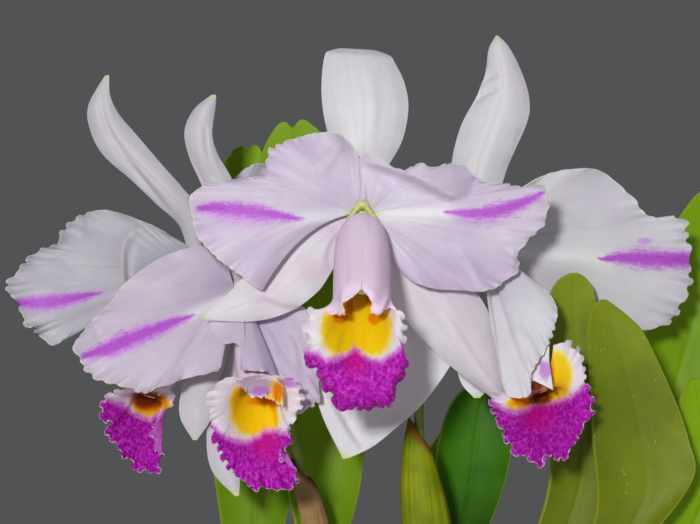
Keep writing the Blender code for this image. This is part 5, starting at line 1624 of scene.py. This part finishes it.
def runner_piece():
    height = BARK_TOP + GAP + RHIZOME_RADIUS
    runs = []
    for number, run in enumerate(RHIZOME_RUNS):
        radius = RHIZOME_RADIUS - RUN_THINNER * number
        path = smooth([(x, y, height) for x, y in run], RUN_ROWS * len(run))
        length = np.linalg.norm(np.diff(path, axis=0), axis=1).sum()
        scales = (np.linspace(0, length, len(path)) / SCALE_SPACING) % 1
        rows = np.arange(len(path))
        ends = np.clip(np.minimum(rows, rows[::-1]) / RUN_END_ROWS, RUN_END_SHARE, 1)
        runs.append(rod(f"runner_{number}", path, (radius - SCALE_RISE * scales) * ends, RUN_SIDES))
    for number, (x, y) in enumerate(ROOT_PLACES):
        path = np.linspace((x, y, height), (x, y, BARK_TOP - ROOT_DEPTH), ROOT_ROWS)
        radii = ROOT_RADIUS * np.where(np.linspace(0, 1, ROOT_ROWS) > ROOT_TIP, 0.5, 1)
        runs.append(rod(f"root_{number}", path, radii, ROOT_SIDES))
    made = combine(runs[0], runs[1:])
    made.name = "runner_with_roots"
    return dress(made, rhizome_scaly, "rhizome", "rhizome")


runner_piece()

# %% [markdown]
# ## Flower stems and sheaths
# The stalks are round rods that fork to their blooms, with a ring at each joint. Each rises from a
# sheath, a thin flattened pocket that once wrapped the buds.

# %% Flower stems
STEM_RADIUS = 2.3
STALK_STEP = 0.2
STALK_STRAIGHT = 3.0
STALK_ROWS = (90, 60)
STALK_SIDES = 26
STEM_RIBS = 5
STEM_RIB_DEPTH = 0.03


def stem_ribs(along, turn):
    return 1 + STEM_RIB_DEPTH * np.cos(2 * np.pi * STEM_RIBS * turn) + 0 * along


def stalk_path(stalk, bloom, count):
    """A smooth path along a stalk, whose last stretch runs straight to the back of its bloom."""
    back = seen(*BLOOMS[bloom]["hub"]) + np.array([0, OVARY_LENGTH + GAP, 0])
    bend = smooth(stalk + [tuple(back + np.array([0, STALK_STRAIGHT, 0]))], count)
    return np.vstack([bend, back])


def stem_piece(number):
    rods = []
    for order, (bloom, stalk) in enumerate(STEMS[number]):
        path = stalk_path(stalk, bloom, STALK_ROWS[order])
        t = np.linspace(0, 1, len(path))
        radii = STEM_RADIUS - STALK_STEP * order + joint_rings(t, STALK_JOINTS)
        rods.append(rod(f"stalk_{number}_{order}", path, radii, STALK_SIDES, stem_ribs))
    made = combine(rods[0], rods[1:])
    made.name = f"flower_stalks_{number}"
    return dress(made, stem_green, "stem", f"flower_stem_{number}")


for number in STEMS:
    stem_piece(number)

# %% Sheaths
SHEATHS = {1: {"bulb": 6, "height": 93.0, "wide": 11.5, "deep": 5.2,
               "look": (sheath_green, "green_sheath")},
           2: {"bulb": 8, "height": 78.0, "wide": 6.8, "deep": 4.8,
               "look": (sheath_dry, "dry_sheath")}}
SHEATH_WALL = 0.6
SHEATH_FOOT_WIDTH = 4.6
SHEATH_SLANT = 0.16
SHEATH_BELLY_POWER = 0.8
SHEATH_CRINKLE = 0.2
SHEATH_FOLD_POWER = 12
SHEATH_ROWS = 70
SHEATH_AROUND = 72


def sheath_piece(number):
    sizes = SHEATHS[number]
    foot = BULBS[sizes["bulb"]][1][2] + LEAF_ROOT_LIFT
    bloom, stalk = STEMS[number][0]
    path = stalk_path(stalk, bloom, 200)
    along = np.linspace(0, 1, SHEATH_ROWS + 1)[:, None]
    turn = np.linspace(0, 1, SHEATH_AROUND + 1)[None, :]
    angle = 2 * np.pi * turn
    belly = np.clip(np.sin(np.pi * along ** SHEATH_BELLY_POWER), 0, 1) ** SHEATH_BELLY_POWER
    wide = SHEATH_FOOT_WIDTH + (sizes["wide"] - SHEATH_FOOT_WIDTH) * belly
    height = foot + sizes["height"] * along * (1 - SHEATH_SLANT * (1 + np.cos(angle)) / 2)
    middle_x = np.interp(height, path[:, 2], path[:, 0])
    middle_y = np.interp(height, path[:, 2], path[:, 1])
    crinkle = SHEATH_CRINKLE * ripple(turn, 8, 24, number) * np.sin(np.pi * along)
    points = np.stack([middle_x + (wide + crinkle) * np.cos(angle),
                       middle_y + (sizes["deep"] + crinkle) * np.sin(angle), height], axis=-1)
    marks = {"along": along, "around": turn, "fold": np.abs(np.cos(angle)) ** SHEATH_FOLD_POWER}
    made = grid_piece(f"bud_sheath_{number}", points, marks)
    thicken(made, SHEATH_WALL)
    return dress(made, *sizes["look"], f"sheath_{number}")


for number in SHEATHS:
    sheath_piece(number)

# %% [markdown]
# ## Bark and pot
# The pot is plain fired clay. Its wall and rim are drawn up from a disc by extruding and resizing,
# as a potter pulls them, and the drain holes are cut through its floor. The bark keeps the
# construction's plug, and loose chips lie over it.

# %% Pot
POT_HEIGHT = 130.0
POT_TOP_RADIUS = 75.0
POT_BASE_RADIUS = 58.0
POT_WALL = 4.0
POT_RIM_HEIGHT = 16.0
POT_RIM_PROUD = 3.0
DRAIN_HOLES = 4
DRAIN_RADIUS = 5.0
DRAIN_CIRCLE = 34.0
DRAIN_SIDES = 32
POT_SIDES = 128


def raise_solid(name, profile, sides):
    """A disc drawn up and in through the radii and heights of a profile, by extrude and resize."""
    radius, height = profile[0]
    bpy.ops.mesh.primitive_circle_add(vertices=sides, radius=radius * MM, fill_type="NGON",
                                      location=(0, 0, height * MM))
    made = bpy.context.object
    made.name = name
    bpy.ops.object.transform_apply(location=True)
    bpy.ops.object.mode_set(mode="EDIT")
    bpy.ops.mesh.select_all(action="SELECT")
    for next_radius, next_height in profile[1:]:
        move = (0, 0, (next_height - height) * MM)
        bpy.ops.mesh.extrude_region_move(TRANSFORM_OT_translate={"value": move})
        share = next_radius / radius
        bpy.ops.transform.resize(value=(share, share, 1), center_override=(0, 0, next_height * MM))
        radius, height = next_radius, next_height
    bpy.ops.object.mode_set(mode="OBJECT")
    face_outwards(made)
    return made


def pot_piece():
    rim = POT_TOP_RADIUS + POT_RIM_PROUD
    inner = POT_TOP_RADIUS - POT_WALL
    shoulder = POT_HEIGHT - POT_RIM_HEIGHT
    profile = [(POT_BASE_RADIUS - 1.5, 0), (POT_BASE_RADIUS, 1.5),
               (POT_TOP_RADIUS - 2.4, shoulder - 1.5), (POT_TOP_RADIUS - 1.8, shoulder),
               (rim - 1.6, shoulder), (rim - 0.8, shoulder + 0.8), (rim - 0.2, POT_HEIGHT - 2.5),
               (rim - 0.6, POT_HEIGHT - 0.8), (rim - 2, POT_HEIGHT), (inner + 1.5, POT_HEIGHT),
               (inner, POT_HEIGHT - 1.5), (POT_BASE_RADIUS - POT_WALL, POT_WALL)]
    pot = raise_solid("clay_pot", profile, POT_SIDES)
    for hole in range(DRAIN_HOLES):
        turn = 2 * math.pi * (hole + 0.5) / DRAIN_HOLES
        centre = (DRAIN_CIRCLE * math.cos(turn) * MM, DRAIN_CIRCLE * math.sin(turn) * MM, 0)
        bpy.ops.mesh.primitive_cylinder_add(vertices=DRAIN_SIDES, radius=DRAIN_RADIUS * MM,
                                            depth=4 * POT_WALL * MM, location=centre)
        combine(pot, [bpy.context.object], "DIFFERENCE")
    return dress(soften(pot), fired_clay, "clay", "pot")


pot_piece()

# %% Bark plug and chips
CHIP_COUNT = 300
CHIP_SHAPES = 6
CHIP_SIZE = (11.0, 7.0, 3.0)
CHIP_SIZE_SHARES = (0.7, 1.3)
CHIP_FIELD_RADIUS = 67.0
CHIP_BEVEL = 0.5
CHIP_UNEVEN = (0.9, 0.6, 0.25)
CHIP_TILT = 0.35
CHIP_LIFT = 1.5
CHIP_SINK_NEAR_RUNNER = 4.5
CHIP_SEED = 5
RUNNER_CLEAR = 8.0


def chip_shape(dice):
    """One chip of bark: a box with its edges bevelled and its corners pushed about."""
    bpy.ops.mesh.primitive_cube_add(size=MM)
    chip = bpy.context.object
    least, most = CHIP_SIZE_SHARES
    chip.scale = [side * (least + (most - least) * dice.rand()) for side in CHIP_SIZE]
    bpy.ops.object.transform_apply(scale=True)
    bpy.ops.object.mode_set(mode="EDIT")
    bpy.ops.mesh.select_all(action="SELECT")
    bpy.ops.mesh.subdivide(number_cuts=1)
    bpy.ops.mesh.bevel(offset=CHIP_BEVEL * MM, segments=1)
    bpy.ops.object.mode_set(mode="OBJECT")
    for vertex in chip.data.vertices:
        for axis, uneven in enumerate(CHIP_UNEVEN):
            vertex.co[axis] += uneven * MM * dice.normal()
    return chip


def chips_piece():
    dice = np.random.RandomState(CHIP_SEED)
    shapes = [chip_shape(dice) for _ in range(CHIP_SHAPES)]
    runs = np.vstack([smooth(run, 40) for run in RHIZOME_RUNS])
    copies = []
    for index in range(CHIP_COUNT):
        radius = CHIP_FIELD_RADIUS * math.sqrt(dice.rand())
        turn = 2 * math.pi * dice.rand()
        x, y = radius * math.cos(turn), radius * math.sin(turn)
        near = np.linalg.norm(runs - (x, y), axis=1).min() < RUNNER_CLEAR
        sink = CHIP_SINK_NEAR_RUNNER if near else CHIP_LIFT
        height = BARK_TOP - sink + CHIP_LIFT * dice.normal() * (not near)
        copy = shapes[index % CHIP_SHAPES].copy()
        copy.data = copy.data.copy()
        bpy.context.collection.objects.link(copy)
        copy.location = (x * MM, y * MM, min(height, BARK_TOP + CHIP_LIFT) * MM)
        tilt = (CHIP_TILT * dice.normal(), CHIP_TILT * dice.normal())
        copy.rotation_euler = (*tilt, 2 * math.pi * dice.rand())
        copies.append(copy)
    for shape in shapes:
        bpy.data.objects.remove(shape)
    make_active(copies[0])
    for copy in copies:
        copy.select_set(True)
    bpy.ops.object.join()
    chips = bpy.context.object
    chips.name = "loose_bark_chips"
    bpy.ops.object.transform_apply(location=True, rotation=True, scale=True)
    face_outwards(chips)
    return dress(chips, bark_chips, "bark")


chips_piece()
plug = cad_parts["bark"]
plug = bpy.data.objects[plug] if isinstance(plug, str) else plug
paint(plug, bark_chips)

# %% [markdown]
# ## Floor, light and camera
# The pot stands on a plain pale disc. A broad key light stands near the camera, a little above and
# to the left, so shadows fall down and to the right, with a fill from the right and one above.

# %% Floor
FLOOR_RADIUS = 1.6


def floor_finish():
    material = new_finish("floor_pale", 0.7)
    grain = noise(place(), 40.0, 3.0)
    return settle(material, mix(grain, tint(214, 212, 208), tint(222, 220, 216)))


bpy.ops.mesh.primitive_circle_add(vertices=96, radius=FLOOR_RADIUS, fill_type="NGON")
floor = bpy.context.object
floor.name = "studio_floor"
floor.data.materials.append(floor_finish())

# %% Lights
BLOOM_CENTRE = (0.0, 0.0, 0.42)
# A light: its place, the side of its square, its power and its colour
LIGHTS = {"key_light": ((-0.24, -1.20, 0.66), 0.12, 10.4, (1.0, 0.99, 0.975)),
          "fill_light": ((0.5, -1.3, 0.25), 0.9, 1.2, (0.97, 0.98, 1.0)),
          "top_light": ((0.1, 0.2, 1.5), 0.9, 2.2, (1.0, 1.0, 1.0))}
SURROUND_GREY = (0.17, 0.173, 0.18, 1)
SURROUND_STRENGTH = 0.5


def area_light(name, place_of, size, power, colour):
    bpy.ops.object.light_add(type="AREA", location=place_of)
    light = bpy.context.object
    light.name = name
    light.data.size = size
    light.data.energy = power
    light.data.color = colour
    x, y, z = np.array(BLOOM_CENTRE) - np.array(place_of)
    tilt = math.atan2(math.hypot(x, y), -z)
    light.rotation_euler = (tilt, 0, math.atan2(y, x) - math.pi / 2)


for name, settings in LIGHTS.items():
    area_light(name, *settings)
world = bpy.data.worlds.new("studio_world")
world.use_nodes = True
surround = world.node_tree.nodes["Background"].inputs
surround["Color"].default_value = SURROUND_GREY
surround["Strength"].default_value = SURROUND_STRENGTH
bpy.context.scene.world = world
bpy.context.scene.view_settings.view_transform = "Standard"

# %% Camera
SENSOR_MM = 36.0
FRAME_STEPS = 700.0
bpy.ops.object.camera_add(location=(0, -EYE_DISTANCE * MM, EYE_HEIGHT * MM),
                          rotation=(math.pi / 2, 0, 0))
camera = bpy.context.object
camera.data.sensor_width = SENSOR_MM
camera.data.lens = SENSOR_MM * EYE_DISTANCE / (FRAME_STEPS * STEP)
bpy.context.scene.camera = camera
print("lens in mm:", round(camera.data.lens, 2))
